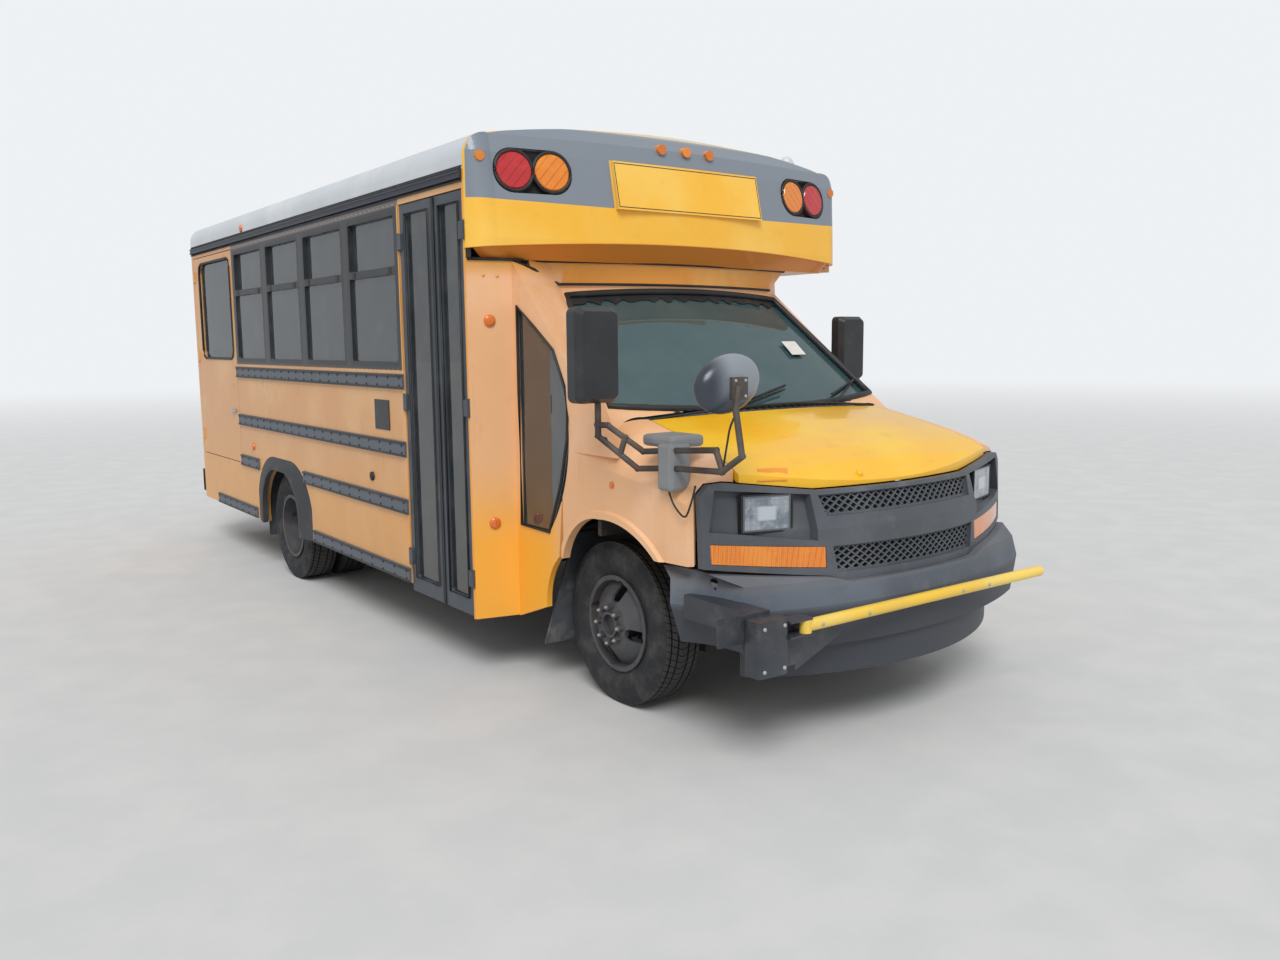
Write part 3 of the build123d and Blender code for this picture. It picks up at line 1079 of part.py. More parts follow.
LIFT_X = (-1120, -1060)
keep("wheelchair_lift", fuse([
    box(*LIFT_X, LIFT_FRONT_Y + 60, LIFT_FRONT_Y + 140, FLOOR_Z, 1950),
    box(*LIFT_X, LIFT_REAR_Y - 160, LIFT_REAR_Y - 80, FLOOR_Z, 1950),
    box(-1110, -1080, LIFT_FRONT_Y + 120, LIFT_REAR_Y - 140, FLOOR_Z + 60, 1900),
]))

# Rear bumper: a channel with its arms
BUMPER_Z = (380, 568)
channel_bumper = outline(
    (BODY_REAR_Y + 90, BUMPER_Z[1]), (REAR_REACH, BUMPER_Z[1]), (REAR_REACH, BUMPER_Z[0]), (BODY_REAR_Y + 90, BUMPER_Z[0]),
    (BODY_REAR_Y + 90, BUMPER_Z[0] + 8), (REAR_REACH - 8, BUMPER_Z[0] + 8), (REAR_REACH - 8, BUMPER_Z[1] - 8),
    (BODY_REAR_Y + 90, BUMPER_Z[1] - 8))
keep("rear_bumper", fuse([
    along_x(channel_bumper, -1190, 1190),
    *[box(x - 8, x + 8, BODY_REAR_Y, REAR_REACH - 4, BUMPER_Z[0] + 4, BUMPER_Z[1] - 4) for x in (-670, 670)],
]))

# Mud flaps. The front ones are cut back so that the steered tyres clear them.
FLAP_T = 10
FRONT_FLAP_Y = 425
front_flap = along_y(
    outline((700, 198), (994, 198), (840, 650), (840, 720), (700, 720)), FRONT_FLAP_Y, FRONT_FLAP_Y + FLAP_T)
flap_hanger = box(700, 840, FRONT_FLAP_Y, FRONT_FLAP_Y + 70, 712, 720)
rear_flap = box(690, HALF - WALL, WHEELBASE + 520, WHEELBASE + 520 + FLAP_T, 230, RAIL_TOP_Z)
keep("mud_flaps", *both_sides(fuse([front_flap, flap_hanger])), *both_sides(rear_flap))

# Mirrors. The right ones stand on a frame of bent tubes.
MIRROR_X = (1098, 1300)
MIRROR_Z = (1396, 1772)
TUBE_R = 12
CROSSVIEW_PLACE = (-1022, -925, 1482)
CROSSVIEW_HALF = (150, 60, 105)
CROSSVIEW_TILT = -15


def mirror_case(y_glass, side, depth):
    """A mirror head whose glass faces rearwards, with a tapered back."""
    xs = sorted((side * MIRROR_X[0], side * MIRROR_X[1]))
    mid = ((xs[0] + xs[1]) / 2, (MIRROR_Z[0] + MIRROR_Z[1]) / 2)
    wide, high = xs[1] - xs[0], MIRROR_Z[1] - MIRROR_Z[0]
    levels = []
    for y, shrink, corner_r in ((y_glass, 0, 30), (y_glass - depth * 0.6, 0, 30), (y_glass - depth, 36, 24)):
        levels.append(front_plane(y) * Pos(*mid) * RectangleRounded(wide - shrink, high - shrink, corner_r))
    return loft(levels, ruled=True)


crossview = Pos(*CROSSVIEW_PLACE) * Rot(0, CROSSVIEW_TILT, 0) * scale(Sphere(100), tuple(h / 100 for h in CROSSVIEW_HALF))
keep("mirror_heads_right", mirror_case(-292, -1, 88), crossview)
MIRROR_POST = ((-1185, -334, MIRROR_Z[0] - 10.2), (-1185, -334, 1265))
UPPER_TUBE = (
    (-1185, -330, 1309), (-1170, -378, 1309), (-1060, -467, 1204), (-1012, -558, 1211), (-1030, -873, 1238),
    (-1034, -914, 1165))
LOWER_TUBE = (
    (-1185, -330, 1265), (-1070, -443, 1134), (-1012, -577, 1143), (-1034, -912, 1162), (-1048, -1035, 1229),
    (-1050, -1004, 1390), (-1040, -1004, 1470))
MIRROR_BRACE = ((-1120, -428, 1261), (-1120, -394, 1194))
STAY = ((-1034, -900, 1150), (-984, -702, 800))
mount_block = box(-1034, -945, -610, -535, 1060, 1235) - nose_outer
mount_shell = box(-1020, -868, -600, -420, 1228, 1262) - nose_outer
PLATE_BACK_Y = CROSSVIEW_PLACE[1] - CROSSVIEW_HALF[1] - RUN_GAP
crossview_plate = box(-1062, -992, PLATE_BACK_Y - 18, PLATE_BACK_Y, 1428, 1508)
tubes = tube_run(UPPER_TUBE, TUBE_R) + tube_run(LOWER_TUBE, TUBE_R) + tube_run(MIRROR_POST, TUBE_R + 1)
tubes += tube_run(MIRROR_BRACE, TUBE_R) + [crossview_plate]
tubes += [mount_block, mount_shell]
right_arms = biggest(fuse(tubes) - nose_outer)
keep("mirror_arms_right", right_arms)

left_case = mirror_case(560, 1, 84)
left_arms = [
    rod((1150, 520, 1440), (1003, 440, 1300), TUBE_R), rod((1150, 520, 1400), (1003, 440, 1130), TUBE_R),
    rod((1150, 520, 1400), (1150, 520, 1440), TUBE_R)]
keep("mirror_left", biggest(fuse([left_case] + left_arms) - made["driver_door"][0]))

# Crossing arm with its motor box and bracket
ARM_Y = -1082
ARM_HINGE_X = -770
ARM_Z = 577
SLEEVE_H = 25
keep("crossing_arm", fuse([
    rod((ARM_HINGE_X, ARM_Y, ARM_Z), (740, ARM_Y, ARM_Z), 24),
    rod((ARM_HINGE_X, ARM_Y, ARM_Z - SLEEVE_H), (ARM_HINGE_X, ARM_Y, ARM_Z + SLEEVE_H), 24),
]))
motor_face = Pos(-935, -1045) * RectangleRounded(150, 90, 18)
motor_box = along_z(motor_face, 415, 625)
motor_bracket = fuse([box(-1130, -880, -1006, -992, 535, 640), box(-980, -880, -1000, -620, 545, 640)])
gusset = along_y(outline((-790, 600), (-775, 397), (-518, 502)), ARM_Y + 42, ARM_Y + 50)
gusset_foot = box(-868, -770, ARM_Y + 42, ARM_Y + 50, 420, 600)
arm_lugs = [
    box(ARM_HINGE_X - 95, ARM_HINGE_X + 20, ARM_Y - 20, ARM_Y + 50, z, z + 9)
    for z in (ARM_Z + SLEEVE_H + RUN_GAP, ARM_Z - SLEEVE_H - RUN_GAP - 9)]
crossing_arm_mount = fuse([motor_box, motor_bracket, gusset, gusset_foot] + arm_lugs) - made["front_bumper"][0]

STOP_Y = 1560
STOP_X = HALF + 60
STOP_HINGE_Y = STOP_Y - 20
STOP_BARREL_R = 9
octagon = Pos(STOP_Y + 270, 1256) * RegularPolygon(228, 8, major_radius=False, rotation=22.5)
keep("stop_arm", fuse([
    along_x(octagon, STOP_X, STOP_X + 6),
    box(STOP_X - 8, STOP_X, STOP_HINGE_Y, STOP_Y + 120, 1180, 1330),
    rod((STOP_X - 4, STOP_HINGE_Y, 1180), (STOP_X - 4, STOP_HINGE_Y, 1330), STOP_BARREL_R),
]))
stop_arm_mount = box(
    HALF, STOP_X - 4 - STOP_BARREL_R - RUN_GAP, STOP_HINGE_Y - 40, STOP_HINGE_Y + 60, 1170, 1340)
keep("arm_mounts", biggest(crossing_arm_mount), stop_arm_mount)
keep("grille", biggest(panel_parts[0] - made["fenders"]), *panel_parts[1:])

# Write every node in the bus's own frame.
for name, solids in made.items():
    whole = solids[0] if len(solids) == 1 else Compound(children=[Part() + s for s in solids])
    export_step(Pos(0, -MID_Y, 0) * whole, "parts/" + name + ".step")
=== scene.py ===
import math

import bpy
from mathutils import Matrix, Vector
from mathutils.bvhtree import BVHTree


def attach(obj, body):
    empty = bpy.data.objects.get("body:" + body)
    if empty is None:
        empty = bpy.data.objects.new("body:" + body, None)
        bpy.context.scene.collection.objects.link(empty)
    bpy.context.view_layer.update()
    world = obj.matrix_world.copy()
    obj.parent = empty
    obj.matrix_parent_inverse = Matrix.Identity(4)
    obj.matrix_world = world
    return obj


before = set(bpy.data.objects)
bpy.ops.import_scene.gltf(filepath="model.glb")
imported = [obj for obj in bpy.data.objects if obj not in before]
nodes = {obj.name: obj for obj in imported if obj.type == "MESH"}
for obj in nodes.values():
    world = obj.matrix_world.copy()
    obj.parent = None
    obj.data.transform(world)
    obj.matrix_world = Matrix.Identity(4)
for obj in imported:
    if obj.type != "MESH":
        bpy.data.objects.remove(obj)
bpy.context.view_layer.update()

# The row's frame is in metres, with its origin in the middle of the bus. Places are
# easier to read in millimetres from the front axle: to the driver's side, rearwards, up.
MM = 1000
AXLE_Y = -2.3725

# Sizes that several pieces share, in millimetres.
WALL_X = 1219.0
WHEEL_Z = 372.0
WHEELBASE = 3531
WINDOW_START, WINDOW_PITCH = 1440, 767

# The sign of X on each side, with its number of windows and with its name.
WINDOW_COUNTS = ((-1, 4), (1, 5))
SIDES = ((-1, "right"), (1, "left"))

# Camera, solved from the straight edges of the body in the photograph.
FOCAL_PX = 1044.25
PHOTO_WIDE_PX, PHOTO_HIGH_PX = 1280, 960
SENSOR_MM = 36.0
CAMERA_PLACE = (-3.520, AXLE_Y - 3.773, 1.635)
CAMERA_YAW = math.radians(36.451)
CAMERA_PITCH = math.radians(7.534)
CAMERA_ROLL = math.radians(0.54)
CAMERA_REACH = 300.0

SUN_ENERGY = 1.9
SUN_WIDTH = math.radians(28)
SUN_FROM = (-0.55, -0.75, 1.0)
SKY_COLOUR = (0.93, 0.96, 1.0, 1.0)
SKY_STRENGTH = 0.62
BACKGROUND = (0.86, 0.88, 0.90, 1.0)

FLOOR_COLOUR = (0.62, 0.62, 0.61)
FLOOR_PALE = (0.66, 0.655, 0.64)
FLOOR_RADIUS = 90.0
FADE_START, FADE_END = 9.0, 40.0


def make_camera():
    forward = Vector((
        math.sin(CAMERA_YAW) * math.cos(CAMERA_PITCH),
        math.cos(CAMERA_YAW) * math.cos(CAMERA_PITCH),
        -math.sin(CAMERA_PITCH)))
    right = Vector((math.cos(CAMERA_YAW), -math.sin(CAMERA_YAW), 0.0))
    down = forward.cross(right)
    turned_right = right * math.cos(CAMERA_ROLL) + down * math.sin(CAMERA_ROLL)
    turned_down = down * math.cos(CAMERA_ROLL) - right * math.sin(CAMERA_ROLL)
    data = bpy.data.cameras.new("camera")
    data.sensor_width = SENSOR_MM
    data.lens = SENSOR_MM * FOCAL_PX / PHOTO_WIDE_PX
    data.clip_end = CAMERA_REACH
    camera = bpy.data.objects.new("camera", data)
    bpy.context.scene.collection.objects.link(camera)
    axes = Matrix((turned_right, -turned_down, -forward)).transposed().to_4x4()
    camera.matrix_world = Matrix.Translation(CAMERA_PLACE) @ axes
    bpy.context.scene.camera = camera


def make_light():
    """A broad soft sun, and a pale surround that also shows in glass and metal."""
    sun = bpy.data.lights.new("key", "SUN")
    sun.energy = SUN_ENERGY
    sun.angle = SUN_WIDTH
    key = bpy.data.objects.new("key", sun)
    bpy.context.scene.collection.objects.link(key)
    key.rotation_euler = Vector(SUN_FROM).to_track_quat("Z", "Y").to_euler()
    world = bpy.data.worlds.new("surround")
    bpy.context.scene.world = world
    world.use_nodes = True
    tree = world.node_tree
    back = tree.nodes["Background"]
    back.inputs["Color"].default_value = SKY_COLOUR
    back.inputs["Strength"].default_value = SKY_STRENGTH
    shown = tree.nodes.new("ShaderNodeBackground")
    shown.inputs["Color"].default_value = BACKGROUND
    path = tree.nodes.new("ShaderNodeLightPath")
    mixed = tree.nodes.new("ShaderNodeMixShader")
    output = tree.nodes["World Output"]
    tree.links.new(path.outputs["Is Camera Ray"], mixed.inputs[0])
    tree.links.new(back.outputs[0], mixed.inputs[1])
    tree.links.new(shown.outputs[0], mixed.inputs[2])
    tree.links.new(mixed.outputs[0], output.inputs["Surface"])
    bpy.context.scene.view_settings.view_transform = "Standard"


class Surface:
    """A node material, built up layer by layer in object coordinates (metres in the bus's frame)."""

    COAT_ROUGHNESS = 0.08

    def __init__(self, name, colour, roughness=0.5, metallic=0.0, coat=0.0, specular=0.5):
        self.material = bpy.data.materials.new(name)
        self.material.use_nodes = True
        self.tree = self.material.node_tree
        self.shader = self.tree.nodes["Principled BSDF"]
        self.shader.inputs["Metallic"].default_value = metallic
        self.shader.inputs["Coat Weight"].default_value = coat
        self.shader.inputs["Coat Roughness"].default_value = self.COAT_ROUGHNESS
        self.shader.inputs["Specular IOR Level"].default_value = specular
        self.colour = (*colour, 1.0)
        self.roughness = roughness
        self.heights = []
        self.place = self.node("ShaderNodeTexCoord").outputs["Object"]
        self.material.diffuse_color = self.colour

    def node(self, kind, **values):
        made = self.tree.nodes.new(kind)
        for key, value in values.items():
            setattr(made, key, value)
        return made

    def feed(self, socket, value):
        """Set a socket, or link to it."""
        if isinstance(value, bpy.types.NodeSocket):
            self.tree.links.new(value, socket)
        else:
            socket.default_value = value

    def math(self, operation, a, b=0.0, clamp=False):
        made = self.node("ShaderNodeMath", operation=operation, use_clamp=clamp)
        self.feed(made.inputs[0], a)
        self.feed(made.inputs[1], b)
        return made.outputs[0]

    def place_mm(self):
        """The place on the surface, in millimetres from the front axle."""
        split = self.node("ShaderNodeSeparateXYZ")
        self.feed(split.inputs[0], self.place)
        x, y, z = split.outputs
        rearwards = self.math("SUBTRACT", y, AXLE_Y)
        return [self.math("MULTIPLY", part, MM) for part in (x, rearwards, z)]

    def away(self, value, centre):
        """How far value is from centre."""
        return self.math("ABSOLUTE", self.math("SUBTRACT", value, centre))

    def inverse(self, mask):
        return self.math("SUBTRACT", 1.0, mask)

    def noise(self, scale, detail, rough=0.55, stretch=(1, 1, 1)):
        place = self.node("ShaderNodeMapping")
        self.feed(place.inputs["Vector"], self.place)
        place.inputs["Scale"].default_value = stretch
        made = self.node("ShaderNodeTexNoise")
        self.feed(made.inputs["Vector"], place.outputs[0])
        made.inputs["Scale"].default_value = scale
        made.inputs["Detail"].default_value = detail
        made.inputs["Roughness"].default_value = rough
        return made.outputs["Fac"]

    def cells(self, scale):
        """How far each place is from the middle of its cell, in an even grid of square cells."""
        made = self.node("ShaderNodeTexVoronoi", feature="F1", distance="CHEBYCHEV")
        self.feed(made.inputs["Vector"], self.place)
        made.inputs["Scale"].default_value = scale
        made.inputs["Randomness"].default_value = 0.0
        return made.outputs["Distance"]

    def step(self, value, low, high):
        """0 below low, 1 above high, smooth between. Falls if low is above high."""
        made = self.node("ShaderNodeMapRange", interpolation_type="SMOOTHSTEP")
        self.feed(made.inputs["Value"], value)
        made.inputs["From Min"].default_value = min(low, high)
        made.inputs["From Max"].default_value = max(low, high)
        made.inputs["To Min"].default_value = 0.0 if low < high else 1.0
        made.inputs["To Max"].default_value = 1.0 if low < high else 0.0
        return made.outputs[0]

    def band(self, value, start, end, soft):
        """1 between start and end, with edges that are soft wide inside them."""
        return self.both(self.step(value, start, start + soft), self.step(value, end, end - soft))

    def patches(self, scale, detail, low, high, rough=0.55):
        """Cloudy patches: 0 where the noise is below low, 1 where it is above high."""
        return self.step(self.noise(scale, detail, rough), low, high)

    def both(self, *masks):
        out = masks[0]
        for mask in masks[1:]:
            out = self.math("MULTIPLY", out, mask)
        return out

    def either(self, *masks):
        out = masks[0]
        for mask in masks[1:]:
            out = self.math("MAXIMUM", out, mask)
        return out

    def tint(self, mask, colour, roughness=None):
        """Lay another colour over the part where mask is 1."""
        made = self.node("ShaderNodeMix", data_type="RGBA")
        self.feed(made.inputs["Factor"], mask)
        self.feed(made.inputs["A"], self.colour)
        made.inputs["B"].default_value = (*colour, 1.0)
        self.colour = made.outputs["Result"]
        if roughness is not None:
            blend = self.node("ShaderNodeMix", data_type="FLOAT")
            self.feed(blend.inputs["Factor"], mask)
            self.feed(blend.inputs["A"], self.roughness)
            blend.inputs["B"].default_value = roughness
            self.roughness = blend.outputs["Result"]

    def raise_by(self, height, strength, distance):
        """Add a layer of bump, its distance in metres."""
        self.heights.append((height, strength, distance))

    def done(self):
        self.feed(self.shader.inputs["Base Color"], self.colour)
        self.feed(self.shader.inputs["Roughness"], self.roughness)
        normal = None
        for height, strength, distance in self.heights:
            bump = self.node("ShaderNodeBump")
            bump.inputs["Strength"].default_value = strength
            bump.inputs["Distance"].default_value = distance
            self.feed(bump.inputs["Height"], height)
            if normal is not None:
                self.feed(bump.inputs["Normal"], normal)
            normal = bump.outputs[0]
        if normal is not None:
            self.feed(self.shader.inputs["Normal"], normal)
        return self.material


def make_floor():
    """A pale floor that fades into the surround far away."""
    bpy.ops.mesh.primitive_circle_add(vertices=96, radius=FLOOR_RADIUS, fill_type="NGON",
                                      location=(0, 0, 0))
    floor = bpy.context.object
    floor.name = "studio_floor"
    surface = Surface("floor", FLOOR_COLOUR, roughness=0.9, specular=0.2)
    surface.tint(surface.patches(3.0, 6, 0.35, 0.7), FLOOR_PALE)
    material = surface.done()
    tree = material.node_tree
    length = surface.node("ShaderNodeVectorMath", operation="LENGTH")
    surface.feed(length.inputs[0], surface.place)
    fade = surface.step(length.outputs["Value"], FADE_START, FADE_END)
    glow = surface.node("ShaderNodeEmission")
    glow.inputs["Color"].default_value = BACKGROUND
    path = surface.node("ShaderNodeLightPath")
    mixed = surface.node("ShaderNodeMixShader")
    surface.feed(mixed.inputs[0], surface.both(fade, path.outputs["Is Camera Ray"]))
    tree.links.new(surface.shader.outputs[0], mixed.inputs[1])
    tree.links.new(glow.outputs[0], mixed.inputs[2])
    tree.links.new(mixed.outputs[0], tree.nodes["Material Output"].inputs["Surface"])
    floor.data.materials.append(material)


make_camera()
make_light()
make_floor()

# Helpers that make pieces. Sizes and places are in millimetres.

# A tube's cross-section is turned from a line that is nearly upright, and from another
# where the tube itself is nearly upright.
TUBE_UP = Vector((0.02, 0.03, 1.0))
TUBE_BACK = Vector((0, 1, 0.02))
TUBE_STEEP = 0.15

BOX_FACES = ((0, 1, 3, 2), (4, 6, 7, 5), (0, 4, 5, 1), (2, 3, 7, 6), (0, 2, 6, 4), (1, 5, 7, 3))
PRISM_FACES = ((0, 1, 2, 3), (7, 6, 5, 4), (0, 4, 5, 1), (1, 5, 6, 2), (2, 6, 7, 3), (3, 7, 4, 0))


def at(x, y, z):
    """A place in the row's frame, from millimetres."""
    return Vector((x / MM, y / MM + AXLE_Y, z / MM))


def spaced(start, end, gaps):
    """Even steps from start to end."""
    return [start + (end - start) * i / gaps for i in range(gaps + 1)]


def circle(sides):
    """The cosine and sine of each corner of a polygon."""
    turns = [2 * math.pi * k / sides for k in range(sides)]
    return [(math.cos(turn), math.sin(turn)) for turn in turns]


def add_mesh(name, points, faces, material, body="bus", smooth=False):
    """A piece that rides on one body, from points in the row's frame."""
    mesh = bpy.data.meshes.new(name)
    mesh.from_pydata([tuple(p) for p in points], [], faces)
    mesh.materials.append(material)
    for polygon in mesh.polygons:
        polygon.use_smooth = smooth
    made = bpy.data.objects.new(name, mesh)
    bpy.context.scene.collection.objects.link(made)
    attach(made, body)
    return made


def tube(name, points, radius, material, body="bus", sides=10, closed=False):
    """A round bar along the points."""
    path = [at(*p) for p in points]
    count = len(path)
    verts, faces = [], []
    for i, place in enumerate(path):
        before = path[i - 1] if (i or closed) else place
        after = path[(i + 1) % count] if (i < count - 1 or closed) else place
        along = (after - before).normalized()
        side = along.cross(TUBE_UP)
        if side.length < TUBE_STEEP:
            side = along.cross(TUBE_BACK)
        side.normalize()
        top = side.cross(along)
        verts += [place + (side * c + top * s) * radius / MM for c, s in circle(sides)]
    for i in range(count if closed else count - 1):
        j = (i + 1) % count
        for k in range(sides):
            m = (k + 1) % sides
            faces.append((i * sides + k, i * sides + m, j * sides + m, j * sides + k))
    if not closed:
        faces.append(tuple(range(sides)))
        faces.append(tuple(reversed(range((count - 1) * sides, count * sides))))
    add_mesh(name, verts, faces, material, body, smooth=True)


def curve(points, steps):
    """A smooth line through the points, with steps between each pair."""
    out = []
    for i in range(len(points) - 1):
        a = Vector(points[max(i - 1, 0)])
        b, c = Vector(points[i]), Vector(points[i + 1])
        d = Vector(points[min(i + 2, len(points) - 1)])
        for k in range(steps):
            t = k / steps
            out.append(tuple(0.5 * (2 * b + (c - a) * t + (2 * a - 5 * b + 4 * c - d) * t * t
                                    + (3 * b - a - 3 * c + d) * t ** 3)))
    return out + [tuple(points[-1])]


def blocks(name, boxes, material, body="bus", bevel=0.0):
    """Blocks given as (low corner, high corner)."""
    verts, faces = [], []
    for (x0, y0, z0), (x1, y1, z1) in boxes:
        start = len(verts)
        verts += [at(x, y, z) for x in (x0, x1) for y in (y0, y1) for z in (z0, z1)]
        faces += [tuple(start + i for i in face) for face in BOX_FACES]
    made = add_mesh(name, verts, faces, material, body)
    if bevel:
        soften = made.modifiers.new("bevel", "BEVEL")
        soften.width = bevel / MM
        soften.segments = 2


def prisms(name, shapes, material):
    """Upright bars given as (four corners in X and Y, low height, high height)."""
    verts, faces = [], []
    for corners, low, high in shapes:
        start = len(verts)
        verts += [at(x, y, z) for z in (low, high) for x, y in corners]
        faces += [tuple(start + i for i in face) for face in PRISM_FACES]
    add_mesh(name, verts, faces, material)


def buttons(name, places, normal, radius, height, material, body="bus", sides=10, dome=0.0):
    """Round heads of bolts, rivets, reflectors or lenses, all facing the same way."""
    axis = Vector(normal).normalized()
    side = axis.cross(Vector((0, 0, 1)) if abs(axis.z) < 0.9 else Vector((1, 0, 0))).normalized()
    top = side.cross(axis)
    verts, faces = [], []
    # Each ring's share of the radius, and its height.
    rings = ((1.0, 0.0), (1.0, height), (0.6, height + dome * 0.7))
    for place in places:
        start = len(verts)
        for scale, rise in rings:
            verts += [at(*place) + (side * c + top * s) * radius * scale / MM + axis * rise / MM
                      for c, s in circle(sides)]
        verts.append(at(*place) + axis * (height + dome) / MM)
        for ring in range(len(rings) - 1):
            for k in range(sides):
                m = (k + 1) % sides
                low, high = start + ring * sides, start + (ring + 1) * sides
                faces.append((low + k, high + k, high + m, low + m))
        last = start + (len(rings) - 1) * sides
        faces += [(last + k, last + sides, last + (k + 1) % sides) for k in range(sides)]
    add_mesh(name, verts, faces, material, body, smooth=dome > 0)


def slab(name, corners, thickness, material, out):
    """A thin plate from its corners, raised along out by its thickness."""
    rise = Vector(out).normalized() * thickness / MM
    back = [at(*c) for c in corners]
    front = [place + rise for place in back]
    count = len(corners)
    faces = [tuple(range(count)), tuple(reversed(range(count, 2 * count)))]
    faces += [(i, count + i, count + (i + 1) % count, (i + 1) % count) for i in range(count)]
    add_mesh(name, front + back, faces, material)


def ribbon(name, first, second, material):
    """A sheet between two lines with the same number of places."""
    count = len(first)
    faces = [(i, i + 1, count + i + 1, count + i) for i in range(count - 1)]
    add_mesh(name, first + second, faces, material)


# Surfaces. Colours are linear.

ORANGE = (0.68, 0.33, 0.115)
ORANGE_PALE = (0.74, 0.42, 0.19)
ORANGE_DEEP = (0.80, 0.36, 0.05)
PEACH = (0.86, 0.47, 0.23)
PEACH_PALE = (0.90, 0.55, 0.34)
SKIRT_ORANGE = (0.95, 0.43, 0.04)
# Darker orange, the cap's shadow painted on the cab.
CAP_SHADOW_ORANGE = (0.72, 0.34, 0.08)
YELLOW = (0.95, 0.50, 0.004)
YELLOW_PALE = (0.96, 0.58, 0.02)
CAP_YELLOW = (0.95, 0.50, 0.035)
CAP_YELLOW_PALE = (0.96, 0.58, 0.09)
# The cap's underside: orange, darkened as painted shade.
UNDERSIDE_SHADE_ORANGE = (0.70, 0.24, 0.02)
CAP_SLATE = (0.21, 0.24, 0.28)
BLACK = (0.018, 0.018, 0.020)
POST_BLACK = (0.014, 0.015, 0.018)
POST_EDGE = (0.15, 0.14, 0.15)

STREAK_BROWN = (0.30, 0.24, 0.18)
ROAD_DIRT = (0.42, 0.36, 0.29)
SPECK_BROWN = (0.16, 0.12, 0.09)
DUST = (0.34, 0.32, 0.29)
RUST = (0.16, 0.065, 0.03)
METAL_DUST = (0.28, 0.25, 0.21)
GLASS_DUST = (0.5, 0.47, 0.42, 1.0)


def worn_paint(name, colour, pale, grime=0.5, roughness=0.36, coat=0.25):
    """Sun-faded paint: paler patches, a film of dust, small stains and faint unevenness."""
    s = Surface(name, colour, roughness=roughness, coat=coat)
    s.tint(s.patches(1.6, 5, 0.42, 0.66), pale, roughness + 0.12)
    s.tint(s.both(s.patches(7.0, 8, 0.55, 0.78, 0.65), 0.35), [c * 0.72 for c in colour], 0.6)
    streak = s.noise(3.0, 6, 0.6, stretch=(6, 6, 0.5))
    s.tint(s.both(s.step(streak, 0.55, 0.8), 0.28 * grime), STREAK_BROWN, 0.7)
    low = s.step(s.place_mm()[2], 1050, 350)
    s.tint(s.both(low, s.patches(4.0, 6, 0.3, 0.75), 0.5 * grime), ROAD_DIRT, 0.75)
    s.tint(s.both(s.patches(60.0, 4, 0.70, 0.78, 0.7), 0.5 * grime), SPECK_BROWN, 0.7)
    s.raise_by(s.noise(2.2, 2), 0.05, 0.02)
    return s


def plastic(name, colour, roughness=0.5, dust=0.3, grain=0.25):
    """Textured plastic or rubber that has greyed, with dust."""
    s = Surface(name, colour, roughness=roughness)
    s.tint(s.both(s.patches(2.5, 5, 0.4, 0.7), 0.7), [c * 1.5 + 0.01 for c in colour], roughness + 0.1)
    s.tint(s.both(s.patches(6.0, 8, 0.5, 0.8, 0.7), dust), DUST, 0.85)
    s.raise_by(s.noise(420.0, 2), grain, 0.0006)
    return s


def metal(name, colour, roughness=0.45, rust=0.3):
    """Dull metal with rust and dust."""
    s = Surface(name, colour, roughness=roughness, metallic=0.15)
    s.tint(s.both(s.patches(9.0, 8, 0.5, 0.72, 0.65), rust), RUST, 0.85)
    s.tint(s.both(s.patches(4.0, 6, 0.45, 0.75), 0.35), METAL_DUST, 0.8)
    s.raise_by(s.noise(60.0, 5), 0.2, 0.002)
    return s


def glass(name, tint, see_through, gloss, dirt, mirror_base):
    """Glass as a layer that tints what is behind it and mirrors more at a slant."""
    s = Surface(name, tint)

    def coloured(kind, colour):
        made = s.node(kind)
        made.inputs["Color"].default_value = colour
        return made

    def mixed(factor, first, second):
        made = s.node("ShaderNodeMixShader")
        s.feed(made.inputs[0], factor)
        s.tree.links.new(first.outputs[0], made.inputs[1])
        s.tree.links.new(second.outputs[0], made.inputs[2])
        return made

    clear = coloured("ShaderNodeBsdfTransparent", (*tint, 1.0))
    body = coloured("ShaderNodeBsdfDiffuse", (*[c * 0.6 for c in tint], 1.0))
    mirror = coloured("ShaderNodeBsdfGlossy", (gloss, gloss, gloss, 1.0))
    mirror.inputs["Roughness"].default_value = 0.03
    dust = coloured("ShaderNodeBsdfDiffuse", GLASS_DUST)
    slant = s.node("ShaderNodeLayerWeight")
    slant.inputs["Blend"].default_value = 0.32
    slanted = s.math("MULTIPLY", slant.outputs["Fresnel"], 0.9)
    reflecting = s.math("ADD", slanted, mirror_base, clamp=True)
    film = mixed(1.0 - see_through, clear, body)
    shine = mixed(reflecting, film, mirror)
    dusty = mixed(s.both(s.patches(5.0, 8, 0.4, 0.8, 0.7), dirt), shine, dust)
    s.tree.links.new(dusty.outputs[0], s.tree.nodes["Material Output"].inputs["Surface"])
    return s.material


def lens(name, colour, deep, pitch=0.008):
    """A moulded lens: small prisms, darker between, glossy."""
    s = Surface(name, colour, roughness=0.14, coat=0.9, specular=0.6)
    cells = s.cells(1.0 / pitch)
    s.tint(s.both(s.step(cells, 0.36, 0.5), 0.75), deep)
    s.tint(s.both(s.patches(9.0, 5, 0.45, 0.7), 0.3), [min(1.0, c * 1.4 + 0.03) for c in colour])
    s.raise_by(cells, 0.4, 0.002)
    return s.done()


# The tread's cuts are counted round the tyre; the other rates are radians for each millimetre.
TREAD_CUTS, CUT_SLANT = 74.0, 0.09
TREAD_RIB_RATE, SIDE_RING_RATE = 0.165, 0.52


